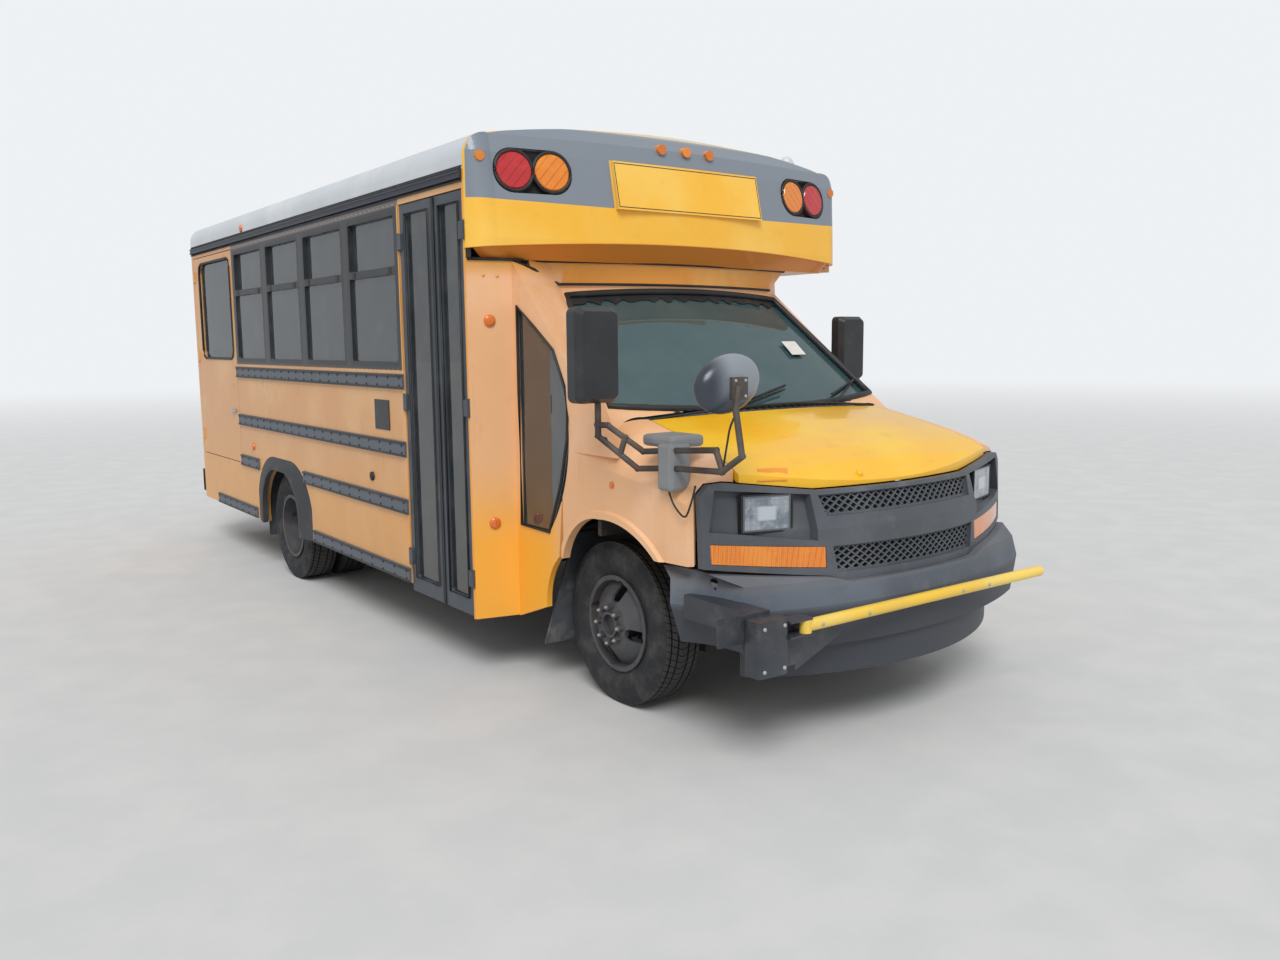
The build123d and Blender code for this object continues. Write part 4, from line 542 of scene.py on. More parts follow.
def tyre_rubber(name, axle, x_centres):
    """Worn rubber with tread grooves, and a dusty side with faint rings."""
    s = Surface(name, (0.026, 0.027, 0.030), roughness=0.75, specular=0.3)
    x, y, z = s.place_mm()
    up = s.math("SUBTRACT", z, WHEEL_Z)
    back = s.math("SUBTRACT", y, axle)
    far = s.math("SQRT", s.math("ADD", s.math("MULTIPLY", up, up), s.math("MULTIPLY", back, back)))
    s.tint(s.both(s.patches(8.0, 7, 0.42, 0.75, 0.65), 0.55), (0.12, 0.115, 0.105), 0.9)
    s.tint(s.both(s.step(far, 366, 371), 0.5), (0.10, 0.095, 0.088), 0.9)
    out = s.math("ABSOLUTE", x)
    off = s.away(out, x_centres[0])
    for centre in x_centres[1:]:
        off = s.math("MINIMUM", off, s.away(out, centre))
    on_tread = s.step(far, 366, 370)
    ribs = s.step(s.math("SINE", s.math("MULTIPLY", off, TREAD_RIB_RATE)), -0.90, -0.70)
    around = s.math("MULTIPLY", s.math("ARCTAN2", up, back), TREAD_CUTS)
    slant = s.math("ADD", around, s.math("MULTIPLY", off, CUT_SLANT))
    tread = s.both(ribs, s.step(s.math("SINE", slant), -0.985, -0.90))
    s.tint(s.both(on_tread, s.inverse(tread)), (0.006, 0.006, 0.007), 0.95)
    s.raise_by(s.both(on_tread, tread), 0.9, 0.006)
    rings = s.step(s.math("SINE", s.math("MULTIPLY", far, SIDE_RING_RATE)), 0.55, 0.85)
    s.raise_by(s.both(s.step(far, 250, 256), s.step(far, 345, 338), rings), 0.35, 0.0015)
    return s.done()


def wall_paint():
    """Orange walls, deeper low down, with black posts between the windows."""
    s = worn_paint("side_orange", ORANGE, ORANGE_PALE, grime=0.8)
    x, y, z = s.place_mm()
    s.tint(s.both(s.step(z, 1050, 600), 0.45), ORANGE_DEEP)
    right_end, left_more = 4508.0, 770.0
    end = s.math("ADD", right_end, s.math("MULTIPLY", s.step(x, -1, 1), left_more))
    outside = s.step(s.math("ABSOLUTE", x), 1150, 1170)
    run = s.both(s.step(y, 1438, 1440), s.step(s.math("SUBTRACT", y, end), 1, -1), outside)
    s.tint(s.both(run, s.band(z, 1494, 2352, 3)), POST_BLACK, 0.4)
    s.tint(s.both(run, s.step(z, 2349, 2352)), POST_EDGE, 0.5)
    return s.done()


def cab_paint():
    """Peach cab, orange low down behind the wheel, and darker orange over the windshield as painted shadow
    under the cap.
    """
    s = worn_paint("cab_peach", PEACH, PEACH_PALE, grime=0.55)
    _, y, z = s.place_mm()
    s.tint(s.both(s.step(z, 1150, 620), s.step(y, 180, 330)), SKIRT_ORANGE)
    # Painted shadow: the cab is darker orange under the cap, above the windshield.
    s.tint(s.step(z, 1930, 2010), CAP_SHADOW_ORANGE)
    return s.done()


def cap_paint():
    """Yellow cap: slate above a line that arches over the front, a lined sign, an orange underside
    darkened as painted shade.
    """
    s = worn_paint("cap_yellow", CAP_YELLOW, CAP_YELLOW_PALE, grime=0.2, roughness=0.3, coat=0.4)
    x, y, z = s.place_mm()
    arch = s.math("MULTIPLY", s.math("MULTIPLY", x, x), 1.4e-5)
    across = s.math("ABSOLUTE", x)
    above = s.step(s.math("SUBTRACT", z, s.math("ADD", arch, 2284.0)), -2.0, 2.0)
    in_sign = s.both(s.step(across, 482, 478), s.band(z, 2270, 2524, 4))
    behind = s.step(y, 682, 686)
    s.tint(s.both(above, s.inverse(in_sign), s.inverse(behind)), CAP_SLATE, 0.42)
    # The underside faces down: its orange is darkened as painted shade.
    low_edge = s.math("SUBTRACT", 2124.0, s.math("MULTIPLY", arch, 2.2))
    s.tint(s.step(s.math("SUBTRACT", z, low_edge), 3.0, -3.0), UNDERSIDE_SHADE_ORANGE, 0.55)
    upright = s.both(s.band(across, 466, 473, 2), s.step(z, 2288, 2292), s.step(z, 2513, 2510))
    level = s.either(s.band(z, 2290, 2297, 2), s.band(z, 2505, 2512, 2))
    level = s.both(level, s.step(across, 473, 471))
    s.tint(s.both(s.either(upright, level), s.step(y, 600, 596)), BLACK, 0.4)
    return s.done()


def bumper_plastic():
    """Slate bumper, darker at its foot and paler on its shelf."""
    s = plastic("bumper_plastic", (0.085, 0.10, 0.125), roughness=0.5, dust=0.25)
    z = s.place_mm()[2]
    s.tint(s.step(z, 600, 560), (0.045, 0.05, 0.062), 0.5)
    # Paler grey, evenly along the shelf at the top.
    s.tint(s.both(s.step(z, 655, 672), 0.35), (0.17, 0.165, 0.16), 0.75)
    return s.done()


def rail_paint():
    """Near-black rails, slate on the faces nearer the wall and deep blue on the drip band."""
    s = plastic("rail_slate", (0.011, 0.012, 0.014), roughness=0.42, dust=0.2, grain=0.1)
    x, _, z = s.place_mm()
    s.tint(s.step(s.math("ABSOLUTE", x), 1232.5, 1231.5), (0.10, 0.115, 0.14), 0.5)
    s.tint(s.step(z, 2380, 2384), (0.022, 0.027, 0.042), 0.4)
    return s.done()


def wheel_paint():
    s = metal("wheel_grey", (0.070, 0.075, 0.085), roughness=0.45, rust=0.25)
    s.tint(s.both(s.patches(12.0, 8, 0.4, 0.7, 0.7), 0.55), (0.075, 0.055, 0.045), 0.8)
    return s.done()


def headlamp_silver():
    """A sealed beam: a face of small squares, dim patches of painted reflection, a painted highlight round
    the bulb, and dark at its rim.
    """
    s = Surface("lamp_silver", (0.42, 0.46, 0.50), roughness=0.10, metallic=0.7, coat=1.0)
    x, _, z = s.place_mm()
    cells = s.cells(52.0)
    s.tint(s.both(s.step(cells, 0.3, 0.5), 0.35), (0.20, 0.23, 0.27), 0.25)
    # Painted reflection: dim bluish patches across the face.
    s.tint(s.both(s.patches(14.0, 4, 0.45, 0.6), 0.6), (0.10, 0.13, 0.18), 0.15)
    # Painted highlight: the face is brighter and glossier round the bulb.
    bulb_x = s.away(s.math("ABSOLUTE", x), 695.0)
    bulb_z = s.away(z, 958.0)
    s.tint(s.both(s.step(bulb_x, 46, 30), s.step(bulb_z, 34, 22)), (0.60, 0.66, 0.72), 0.08)
    s.tint(s.either(s.step(bulb_x, 90, 95), s.step(bulb_z, 62, 66)), (0.13, 0.14, 0.16), 0.2)
    s.raise_by(cells, 0.5, 0.003)
    return s.done()


def mirror_look():
    """The mirror heads share a node with the crossview mirror, so one material looks at the place."""
    s = plastic("mirror_black", (0.022, 0.024, 0.027), roughness=0.4, dust=0.12, grain=0.1)
    x, y, z = s.place_mm()
    crossview = s.step(y, -600, -640)
    s.tint(crossview, (0.26, 0.28, 0.31), 0.32)
    # Painted shade: the crossview mirror's left side is darker.
    s.tint(s.both(crossview, s.step(x, -1030, -1130)), (0.035, 0.042, 0.06), 0.25)
    # Painted shade: the crossview mirror's lower part is darker.
    s.tint(s.both(crossview, s.step(z, 1470, 1395)), (0.05, 0.06, 0.08), 0.25)
    s.tint(s.both(crossview, s.step(y, -925, -905)), (0.05, 0.055, 0.06), 0.3)
    mirror_face = s.both(s.step(y, -294.0, -292.5), s.step(y, -291.0, -291.5))
    s.tint(mirror_face, (0.30, 0.33, 0.36), 0.05)
    return s.done()


def label_white():
    s = Surface("sticker_white", (0.72, 0.70, 0.66), roughness=0.6)
    s.tint(s.both(s.patches(30.0, 5, 0.45, 0.7), 0.4), (0.5, 0.45, 0.4))
    return s.done()


wall_orange = wall_paint()
hood_yellow = worn_paint("hood_yellow", YELLOW, YELLOW_PALE, grime=0.2, roughness=0.28, coat=0.5).done()
roof_white = worn_paint("roof_white", (0.60, 0.63, 0.66), (0.68, 0.70, 0.72), roughness=0.4,
                        coat=0.15).done()
arm_yellow = worn_paint("arm_yellow", (0.90, 0.56, 0.03), (0.93, 0.66, 0.12), grime=0.4,
                        roughness=0.35).done()
sign_red = worn_paint("sign_red", (0.50, 0.02, 0.02), (0.55, 0.05, 0.04), grime=0.3).done()
orange_post = worn_paint("orange_post", (0.82, 0.36, 0.05), (0.84, 0.45, 0.12), grime=0.4).done()
header_orange = worn_paint("header_orange", (0.76, 0.30, 0.03), (0.80, 0.40, 0.10)).done()

slate_plastic = plastic("slate_plastic", (0.075, 0.083, 0.095), roughness=0.46, dust=0.22).done()
frame_black = plastic("frame_black", (0.022, 0.024, 0.027), roughness=0.4, dust=0.12, grain=0.1).done()
leaf_slate = plastic("leaf_slate", (0.050, 0.060, 0.075), roughness=0.42, dust=0.18, grain=0.1).done()
flap_rubber = plastic("flap_rubber", (0.06, 0.065, 0.075), roughness=0.7, dust=0.55).done()
arch_rubber = plastic("arch_rubber", (0.035, 0.036, 0.040), roughness=0.6, dust=0.35).done()
box_black = plastic("box_black", (0.030, 0.034, 0.042), roughness=0.35, dust=0.2, grain=0.1).done()
floor_black = plastic("floor_black", (0.05, 0.05, 0.052), roughness=0.7, dust=0.4).done()
seat_vinyl = plastic("seat_vinyl", (0.10, 0.13, 0.20), dust=0.1).done()
dash_grey = plastic("dash_grey", (0.16, 0.16, 0.155), roughness=0.6, dust=0.15).done()
gasket_black = plastic("gasket_black", (0.012, 0.012, 0.013), dust=0.12, grain=0.1).done()
plate_black = plastic("plate_black", (0.012, 0.013, 0.015), roughness=0.35, dust=0.1, grain=0.05).done()
dark_hollow = plastic("dark_hollow", (0.010, 0.010, 0.011), roughness=0.8, dust=0.1).done()
cover_grey = plastic("cover_grey", (0.17, 0.175, 0.18)).done()

tube_brown = metal("tube_brown", (0.045, 0.035, 0.030), roughness=0.5, rust=0.6).done()
chassis_black = metal("chassis_black", (0.030, 0.029, 0.028), roughness=0.65, rust=0.6).done()
cast_brown = metal("cast_brown", (0.075, 0.060, 0.050), roughness=0.7, rust=0.8).done()
nut_metal = metal("nut_metal", (0.34, 0.30, 0.26), roughness=0.5, rust=0.65).done()
bright_metal = metal("bright_metal", (0.42, 0.43, 0.44), roughness=0.3, rust=0.15).done()

window_glass = glass("window_glass", (0.34, 0.42, 0.45), 0.82, gloss=0.8, dirt=0.08, mirror_base=0.13)
screen_glass = glass("screen_glass", (0.24, 0.52, 0.55), 0.74, gloss=0.7, dirt=0.05, mirror_base=0.08)
dark_glass = glass("dark_glass", (0.26, 0.31, 0.33), 0.82, gloss=0.75, dirt=0.10, mirror_base=0.12)

red_lens = lens("red_lens", (0.60, 0.008, 0.010), (0.16, 0.0, 0.003))
amber_lens = lens("amber_lens", (0.92, 0.26, 0.004), (0.42, 0.075, 0.0))
amber_dot = lens("amber_dot", (0.85, 0.18, 0.006), (0.45, 0.06, 0.0), pitch=0.005)
patch_orange = lens("patch_orange", (0.90, 0.30, 0.0), (0.75, 0.22, 0.0), pitch=0.004)

# The CAD pieces that each surface goes on.
DRESS = (
    (wall_orange, "side_wall_left", "side_wall_right", "rear_wall", "lift_door", "rear_door"),
    (cab_paint(), "fenders", "cab_shell", "cab_side_right", "driver_door"),
    (hood_yellow, "hood"),
    (cap_paint(), "front_cap"),
    (roof_white, "roof"),
    (slate_plastic, "grille", "cowl"),
    (bumper_plastic(), "front_bumper"),
    (frame_black, "window_frames", "mirror_left"),
    (mirror_look(), "mirror_heads_right"),
    (leaf_slate, "entrance_leaf_front", "entrance_leaf_rear"),
    (rail_paint(), "side_rails"),
    (arch_rubber, "arch_flares"),
    (flap_rubber, "mud_flaps"),
    (tube_brown, "mirror_arms_right"),
    (box_black, "arm_mounts"),
    (chassis_black, "rear_bumper", "frame_rails", "frame_crossmembers", "fuel_tank", "firewall",
     "wheelchair_lift"),
    (cast_brown, "engine_block", "rear_axle", "front_suspension", "knuckle_left", "knuckle_right",
     "exhaust"),
    (wheel_paint(), "front_wheel_left", "front_wheel_right", "rear_wheels_left", "rear_wheels_right"),
    (tyre_rubber("front_tyre", 0.0, (780,)), "front_tyre_left", "front_tyre_right"),
    (tyre_rubber("rear_tyre", WHEELBASE, (824, 1080)), "rear_tyres_left", "rear_tyres_right"),
    (window_glass, "driver_door_glass", "rear_door_glass", "lift_door_glass"),
    (dark_glass, "entrance_glass_front", "entrance_glass_rear"),
    (headlamp_silver(), "headlamps"),
    (red_lens, "red_lamps"),
    (amber_lens, "amber_lamps"),
    (arm_yellow, "crossing_arm"),
    (sign_red, "stop_arm"),
    (floor_black, "floor"),
    (seat_vinyl, "bench_seats", "driver_seat"),
    (dash_grey, "dashboard"),
)


def dress(node, material):
    """Give a CAD node its material, in each of its slots."""
    slots = nodes[node].data.materials
    if not slots:
        slots.append(material)
    for i in range(len(slots)):
        slots[i] = material


def dress_glass():
    """Side panes and the windshield share a node: the screen gets its teal by its place."""
    screen_end, screen_half = 0.80, 0.93
    mesh = nodes["window_glass"].data
    mesh.materials.clear()
    mesh.materials.append(window_glass)
    mesh.materials.append(screen_glass)
    for polygon in mesh.polygons:
        x, y, _ = polygon.center
        polygon.material_index = 1 if (y - AXLE_Y < screen_end and abs(x) < screen_half) else 0


for material, *names in DRESS:
    for name in names:
        dress(name, material)
dress_glass()

# Pieces that the scene adds.

# Rows of the cab's front: height, X and Y of the windshield's edge, Y of its middle.
CAB_LEVELS = (
    (1150, 939, -167, -284),
    (1325, 884, 32, -85),
    (1905, 702, 692, 600),
    (2040, 812, 668, 596))


def between(rows, z):
    """The values of the rows at height z, carried on past the first and the last row."""
    pairs = list(zip(rows[:-1], rows[1:]))
    low, high = next((pair for pair in pairs if z <= pair[1][0]), pairs[-1])
    t = (z - low[0]) / (high[0] - low[0])
    return [a + (b - a) * t for a, b in zip(low[1:], high[1:])]


def screen_y(x, z, proud=0.0):
    """The front of the cab at X and height z."""
    edge_x, edge_y, centre_y = between(CAB_LEVELS, z)
    return centre_y + (edge_y - centre_y) * (x / edge_x) ** 2 - proud


def on_screen(x, z, proud):
    return (x, screen_y(x, z, proud), z)


def screen_line(start, end, steps, proud, lift=0.0):
    """A line across the front of the cab from start to end, each (X, height), its middle lifted."""
    out = []
    for i in range(steps + 1):
        t = i / steps
        x = start[0] + (end[0] - start[0]) * t
        z = start[1] + (end[1] - start[1]) * t + lift * 4 * t * (1 - t)
        out.append(on_screen(x, z, proud))
    return out


foot_x, foot_z = 858, 1350
head_x, head_z = 698, 1866
rim = screen_line((-foot_x, foot_z), (foot_x, foot_z), 20, 1.0, -34.0)
rim += screen_line((foot_x, foot_z), (head_x, head_z), 12, 1.0)[1:]
rim += screen_line((head_x, head_z), (-head_x, head_z), 20, 1.0, 28.0)[1:]
rim += screen_line((-head_x, head_z), (-foot_x, foot_z), 12, 1.0)[1:-1]
tube("windshield_gasket", rim, 17, gasket_black, closed=True, sides=8)

# The screen's dark top band lies behind the glass and has a ragged lower edge.
BAND_PROUD = -12
band_top, band_low = [], []
for i, x in enumerate(spaced(-690, 690, 48)):
    z = 1868 + 27 * (1 - (x / 700) ** 2)
    drop = 46 + 9 * math.sin(i * 1.7) + 6 * math.sin(i * 4.1)
    band_top.append(at(*on_screen(x, z, BAND_PROUD)))
    band_low.append(at(*on_screen(x, z - drop, BAND_PROUD)))
ribbon("screen_top_band", band_top, band_low, gasket_black)

# Wipers, parked along the foot of the screen: number, X of the pivot, X and height of
# the arm's tip, and how far the blade runs past it.
for number, x0, x1, z1, past in ((1, 430, 790, 1420, 100), (0, -300, 150, 1395, 40)):
    foot = on_screen(x0, 1318, 26)
    tip = on_screen(x1, z1, 20)
    middle = tuple((a + b) / 2 for a, b in zip(foot, tip))
    tube(f"wiper_arm_{number}", [foot, middle, tip], 5, gasket_black, sides=6)
    blade = screen_line((x0 + 60, z1 - 62), (x1 + past, z1 + 18), 10, 8.0)
    tube(f"wiper_blade_{number}", blade, 6, gasket_black, sides=6)

# Seals where the cab meets the cap, with an orange header between them.
for name, z, half, proud, radius in (("cap_seal", 2030, 806, 4, 9), ("header_seal", 1921, 712, 3, 7)):
    tube(name, screen_line((-half, z), (half, z), 30, proud, 6.0), radius, gasket_black, sides=6)
HEADER_LOW, HEADER_TOP = 1930, 2020
header_low, header_top = (
    [at(*on_screen(x, z, 2.5)) for x in spaced(-700, 700, 30)] for z in (HEADER_LOW, HEADER_TOP))
ribbon("header", header_low, header_top, header_orange)

# Gasket round the tall window of the cab's side, reflectors on the angled panel behind it, and
# a small dark cap ahead of it.
CAB_SIDE_X = -1007
ANGLED_PANEL_NORMAL = (-0.2285, -0.973, 0)
tall = ((345, 757), (235, 1000), (178, 1200), (169, 1300), (190, 1440), (280, 1600), (440, 1706),
        (598, 1811), (598, 1400), (598, 760))
tube("tall_window_gasket", [(CAB_SIDE_X, y, z) for y, z in tall], 8, gasket_black, closed=True, sides=8)
buttons("corner_reflectors", [(-1118, 667, z) for z in (1741, 770)], ANGLED_PANEL_NORMAL, 28, 8, amber_dot,
        sides=24, dome=4)
buttons("side_dark_spot", ((CAB_SIDE_X, -128, 1220),), (-1, 0, 0), 16, 5, gasket_black, sides=16)

# Thin black lips above and below the right side's drip band, and the seam under the roof.
for z, radius in ((2385, 6), (2440, 5)):
    tube(f"drip_lip_{z}", ((-WALL_X - 4, 712, z), (-WALL_X - 4, 5650, z)), radius, gasket_black, sides=6)
blocks("roof_seam", [((-WALL_X - 3, 706, 2447), (-WALL_X + 6, 5655, 2453)),
                     ((WALL_X - 6, 706, 2447), (WALL_X + 3, 5655, 2453))], gasket_black)

# Pairs of bolts along the rub rails: height, then first and last place on the right and on the left.
RAIL_BOLTS = (
    (1436, 1480, 4480, 1360, 5600),
    (1074, 1480, 4480, 1360, 5600),
    (763, 1480, 3060, 1360, 3060),
    (763, 4110, 4480, 4110, 5600),
    (388, 1480, 2920, 1360, 2920),
    (388, 4210, 5190, 4210, 5190))
RAIL_BOLT_PITCH = 150
for side, name in SIDES:
    heads = []
    for z, right0, right1, left0, left1 in RAIL_BOLTS:
        start, end = (right0, right1) if side < 0 else (left0, left1)
        for y in spaced(start, end, max(2, int((end - start) / RAIL_BOLT_PITCH))):
            heads += [(side * (WALL_X + 11), y, z + off) for off in (-20, 20)]
    buttons(f"rail_bolts_{name}", heads, (side, 0, 0), 6, 3.5, gasket_black, sides=7, dome=1.5)

# Rivets of the side panels: height, first and last place.
RIVET_ROWS = ((1496, 1450, 4500), (1010, 1450, 3090), (1010, 4080, 4500), (1380, 1450, 4500),
              (1130, 1450, 4500), (2360, 1440, 4500))
RIVET_PITCH = 62
for side, name in SIDES:
    heads = [(side * WALL_X, y, z) for z, start, end in RIVET_ROWS
             for y in spaced(start, end, int((end - start) / RIVET_PITCH))]
    buttons(f"wall_rivets_{name}", heads, (side, 0, 0), 4, 1.6, orange_post, sides=6, dome=1)

# Window latches, two on the sash of each window.
latches = []
for side, count in WINDOW_COUNTS:
    x0, x1 = sorted((side * (WALL_X - 6), side * (WALL_X + 2)))
    for i in range(count):
        sash = WINDOW_START + WINDOW_PITCH * i + 35
        latches += [((x0, y - 22, 2008), (x1, y + 22, 2040)) for y in (sash + 100, sash + 597)]
blocks("window_latches", latches, gasket_black)

# Blank plate, a small dark lamp and amber markers on the right wall.
blocks("side_plate", [((-WALL_X - 5, 1646, 1165), (-WALL_X + 1, 1845, 1331))], plate_black, bevel=2)
buttons("side_small_lamp", ((-WALL_X, 1922, 886),), (-1, 0, 0), 26, 10, gasket_black, sides=16, dome=5)
buttons("side_marker", [(-WALL_X, 4200, z) for z in (886, 2480)], (-1, 0, 0), 26, 10, amber_dot,
        sides=16, dome=5)

# Gaskets of the entrance leaves' glass, and the rubber between the leaves.
LEAF_X = -1217
PANE_LOW, PANE_HIGH = 392, 2298
for name, y0, y1 in (("front", 764, 973), ("rear", 1093, 1367)):
    corners = ((y0, PANE_LOW), (y1, PANE_LOW), (y1, PANE_HIGH), (y0, PANE_HIGH))
    tube(f"leaf_gasket_{name}", [(LEAF_X, y, z) for y, z in corners], 7, gasket_black,
         body=f"entrance_leaf_{name}", closed=True, sides=6)
for name, body, y in (("leaf_rubber", "entrance_leaf_front", 1020),
                      ("leaf_rubber_rear", "entrance_leaf_rear", 1034)):
    blocks(name, [((-1222, y, 312), (-1208, y + 12, 2342))], gasket_black, body=body)

# Narrow orange posts ahead of the entrance and behind it.
blocks("entrance_posts", [((-1222, 702, 300), (-1214, 711, 2350)),
                          ((-1222, 1442, 350), (-1217, 1452, 2350))], orange_post)

# Rusty studs on each wheel: body, X of the studs' feet, and place of the axle.
STUD_COUNT, STUD_RING = 8, 82.5
for body, x, axle in (
        ("front_wheel_left", 926, 0),
        ("front_wheel_right", -926, 0),
        ("rear_wheels_left", 1014, WHEELBASE),
        ("rear_wheels_right", -1014, WHEELBASE)):
    places = [(x, axle + STUD_RING * s, WHEEL_Z + STUD_RING * c) for c, s in circle(STUD_COUNT)]
    buttons(f"studs_{body}", places, (x, 0, 0), 7, 10, nut_metal, body=body, sides=8, dome=2)

# Black bezels round the sealed beams: bars above and below each lamp, then one at each end.
BEZEL_LOW, BEZEL_HIGH, BEZEL_BAR = 880, 1036, 7
BEZEL_LEVEL = ((588, -826), (802, -761), (802, -741), (588, -806))
BEZEL_ENDS = ((590, -825.5), (800, -761.5))
for side, name in SIDES:
    level = [(side * x, y) for x, y in BEZEL_LEVEL]
    bars = [(level, BEZEL_HIGH - BEZEL_BAR, BEZEL_HIGH), (level, BEZEL_LOW, BEZEL_LOW + BEZEL_BAR)]
    for x, y in BEZEL_ENDS:
        post = ((x - 4, y - 1), (x + 4, y + 1), (x + 4, y + 20), (x - 4, y + 18))
        bars.append(([(side * px, py) for px, py in post], BEZEL_LOW, BEZEL_HIGH))
    prisms(f"headlamp_bezel_{name}", bars, gasket_black)

# Black rings round the lamps in the cap, and the dark back of the pocket they share.
CAP_LAMPS = (894, 612, 2438)
CAP_LAMP_YAW, CAP_LAMP_LEAN = math.radians(9), math.radians(8)
CAP_LAMP_RADIUS, RING_SIDES = 95, 36
POCKET_SPREAD, POCKET_WIDE, POCKET_HIGH = 92, 100, 104
POCKET_DEPTH, POCKET_SIDES = 21, 40
yaw_cos, yaw_sin = math.cos(CAP_LAMP_YAW), math.sin(CAP_LAMP_YAW)
for side, name in SIDES:
    normal = Vector((side * yaw_sin, -yaw_cos, math.tan(CAP_LAMP_LEAN))).normalized()
    along = Vector((yaw_cos, side * yaw_sin, 0)).normalized()
    high = normal.cross(along)
    centre = Vector((side * CAP_LAMPS[0], *CAP_LAMPS[1:]))
    half_step = side * CAP_LAMP_RADIUS / yaw_cos
    for kind, shift in (("red", half_step), ("amber", -half_step)):
        middle = centre + along * shift + normal * 2
        ring = [middle + (along * c + high * s) * CAP_LAMP_RADIUS for c, s in circle(RING_SIDES)]
        tube(f"cap_lamp_ring_{kind}_{name}", ring, 9, gasket_black, closed=True, sides=8)
    deep = centre - normal * POCKET_DEPTH
    back = [deep + along * (math.copysign(POCKET_SPREAD, c) + POCKET_WIDE * c) + high * POCKET_HIGH * s
            for c, s in circle(POCKET_SIDES)]
    add_mesh(f"cap_pocket_back_{name}", [at(*p) for p in back], [tuple(range(POCKET_SIDES))], dark_hollow)

# Louvres of the cowl, below the screen.
COWL_HALF, LOUVRE_PITCH = 735, 48
louvres = []
for x in range(-560, 560, LOUVRE_PITCH):
    y = -128 + 75 * (x / COWL_HALF) ** 2
    louvres.append(((x - 15, y, 1322), (x + 15, y + 34, 1327)))
blocks("cowl_louvres", louvres, dark_hollow)

# Bolts on the crossing arm and on its motor box.
buttons("arm_bolts", [(x, -1106, 577) for x in (-700, -440, 150, 330)], (0, -1, 0), 7, 4, bright_metal,
        body="crossing_arm", sides=8, dome=2)
buttons("motor_bolts", [(x, -1090, z) for z in (600, 440) for x in (-985, -885)], (0, -1, 0), 8, 4,
        bright_metal, sides=8, dome=2)

# Seal along the hood's rear edge.
hood_seam = [(-738, -78, 1291), (-400, -135, 1322), (0, -158, 1336), (400, -135, 1322), (738, -78, 1291)]
tube("hood_rear_seal", curve(hood_seam, 6), 6, gasket_black, body="hood", sides=6)

# Handles of three doors, and the fuel door.
for name, body, low, high, look, bevel in (
        ("driver_handle", "driver_door", (1003, 1120, 1180), (1022, 1235, 1212), gasket_black, 5),
        ("rear_handle", "rear_door", (300, 5663, 1180), (420, 5688, 1210), bright_metal, 4),
        ("lift_handle", "lift_door", (-1236, 4590, 1120), (-1219, 4700, 1150), bright_metal, 4)):
    blocks(name, [(low, high)], look, body=body, bevel=bevel)
blocks("fuel_door", [((WALL_X, 1500, 880), (WALL_X + 3, 1720, 1010))], wall_orange, bevel=2)

# A dark sheet behind the mesh of the grille, where the radiator's shroud is; its near-black is also
# painted shade for the dark space behind the mesh.
PANEL_LEVELS = ((672, -985, -706), (885, -968, -700), (1095, -880, -690))
PANEL_HALF = 962
RADIATOR_SHADE_LEVELS = (690, 790, 885, 960, 1032)
RADIATOR_SHADE_COLUMNS = 21


def panel_y(x, z):
    """The curved face of the front panel."""
    centre, corner = between(PANEL_LEVELS, z)
    return centre + (corner - centre) * (x / PANEL_HALF) ** 2


radiator_and_shade = [at(x, panel_y(x, z) + 62, z) for z in RADIATOR_SHADE_LEVELS for x in range(-490, 491, 49)]
faces = []
for row in range(len(RADIATOR_SHADE_LEVELS) - 1):
    for i in range(row * RADIATOR_SHADE_COLUMNS, (row + 1) * RADIATOR_SHADE_COLUMNS - 1):
        faces.append((i, i + 1, i + RADIATOR_SHADE_COLUMNS + 1, i + RADIATOR_SHADE_COLUMNS))
add_mesh("grille_radiator_and_shade", radiator_and_shade, faces, dark_hollow)

# Grey moulded cover of the mirror's mount, with thin wires below it and at the crossview mirror.
blocks("mirror_mount_cover", [((-1042, -618, 1052), (-936, -527, 1242)),
                              ((-1028, -608, 1222), (-860, -412, 1270))], cover_grey, bevel=16)
MOUNT_WIRE = ((-1010, -560, 1060), (-1012, -600, 1000), (-1008, -660, 960), (-1002, -690, 1010),
              (-985, -700, 1085))
CROSSVIEW_WIRE = ((-1046, -1000, 1380), (-1060, -985, 1330), (-1052, -960, 1270), (-1040, -925, 1180))
tube("mirror_wire", curve(MOUNT_WIRE, 6), 4, gasket_black, sides=6)
tube("crossview_wire", curve(CROSSVIEW_WIRE, 6), 4, gasket_black, sides=6)
buttons("plate_bolts", [(x, -1003.3, z) for z in (1440, 1496) for x in (-1050, -1004)], (0, -1, 0), 6, 3,
        bright_metal, sides=8, dome=1.5)

# A blank white label on the windshield, in front of the driver.
label = [on_screen(x, z, 3) for x, z in ((440, 1560), (560, 1560), (560, 1630), (440, 1630))]
slab("screen_label", label, 1.0, label_white(), out=(0, -0.8, 0.6))

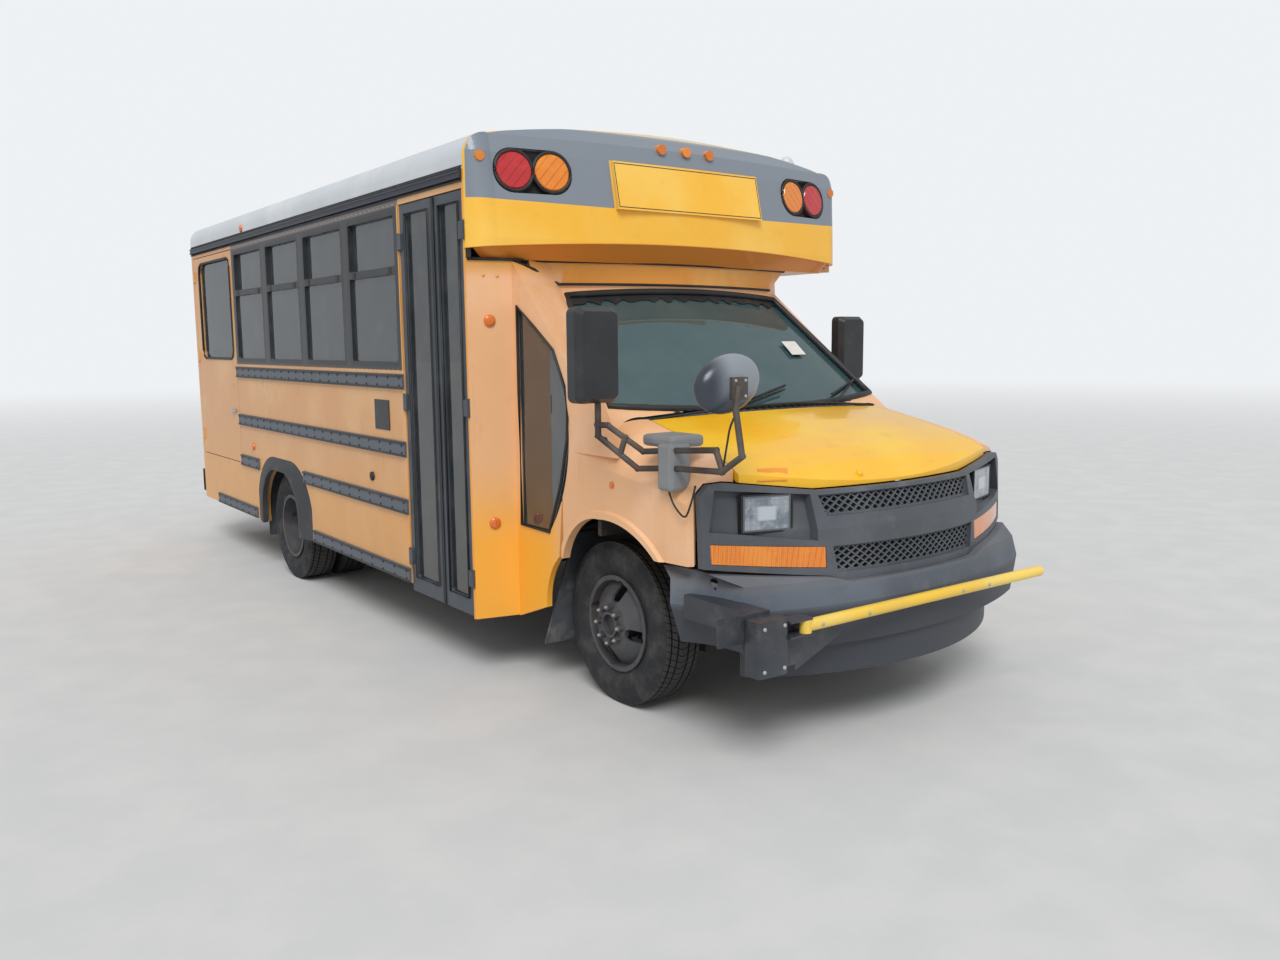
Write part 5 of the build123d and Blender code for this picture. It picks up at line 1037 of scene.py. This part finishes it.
# The cap's seal runs on round the corner beside the entrance, and a branch drops to the screen's header.
tube("corner_seal", ((-1217, 686, 2028), (-1008, 636, 2028), (-900, 668, 2030), on_screen(-806, 2030, 4)),
     8, gasket_black, sides=6)
tube("seal_branch", ((-1008, 636, 2028), (-880, 640, 1985), (-790, screen_y(-760, 1950, 4), 1950),
                     on_screen(-712, 1921, 3)), 7, gasket_black, sides=6)


# Small things whose places were read off the photograph: a line from the camera meets the piece there.
def seen_on(node, u, v, proud):
    """Where the camera's line through the photo's point (u, v) meets a CAD piece, and its normal there."""
    mesh = nodes[node].data
    faces = [tuple(face.vertices) for face in mesh.polygons]
    tree = BVHTree.FromPolygons([vertex.co for vertex in mesh.vertices], faces)
    camera = bpy.context.scene.camera.matrix_world
    sight = Vector(((u - PHOTO_WIDE_PX / 2) / FOCAL_PX, (PHOTO_HIGH_PX / 2 - v) / FOCAL_PX, -1.0))
    place, normal, _, _ = tree.ray_cast(camera.translation, camera.to_3x3() @ sight)
    return place + normal * proud / MM, normal


patch = [seen_on("hood", u, v, 6)[0] for u, v in ((757, 470), (787, 469), (787, 480), (757, 481))]
add_mesh("hood_patch", patch, [(0, 1, 2, 3)], patch_orange, body="hood")
for name, node, body, u, v, radius, height, look in (
        ("hood_knob", "hood", "hood", 859, 474, 15, 12, hood_yellow),
        ("corner_rivet_1", "cab_side_right", "bus", 483, 275, 8, 3, orange_post),
        ("corner_rivet_2", "cab_side_right", "bus", 497, 276, 8, 3, orange_post),
        ("fender_vent_cap", "fenders", "bus", 612, 485, 15, 6, amber_dot)):
    place, normal = seen_on(node, u, v, -1.0)
    spot = (place.x * MM, (place.y - AXLE_Y) * MM, place.z * MM)
    buttons(name, (spot,), normal, radius, height, look, body=body, sides=14, dome=4)

# Gasket round the lift door's window.
pane = ((4640, 1535), (5380, 1535), (5430, 1556), (5450, 1605), (5450, 2230), (5430, 2280), (5380, 2300),
        (4640, 2300), (4590, 2280), (4570, 2230), (4570, 1605), (4590, 1556))
tube("lift_window_gasket", [(-WALL_X - 1, y, z) for y, z in pane], 9, gasket_black, body="lift_door",
     closed=True, sides=8)
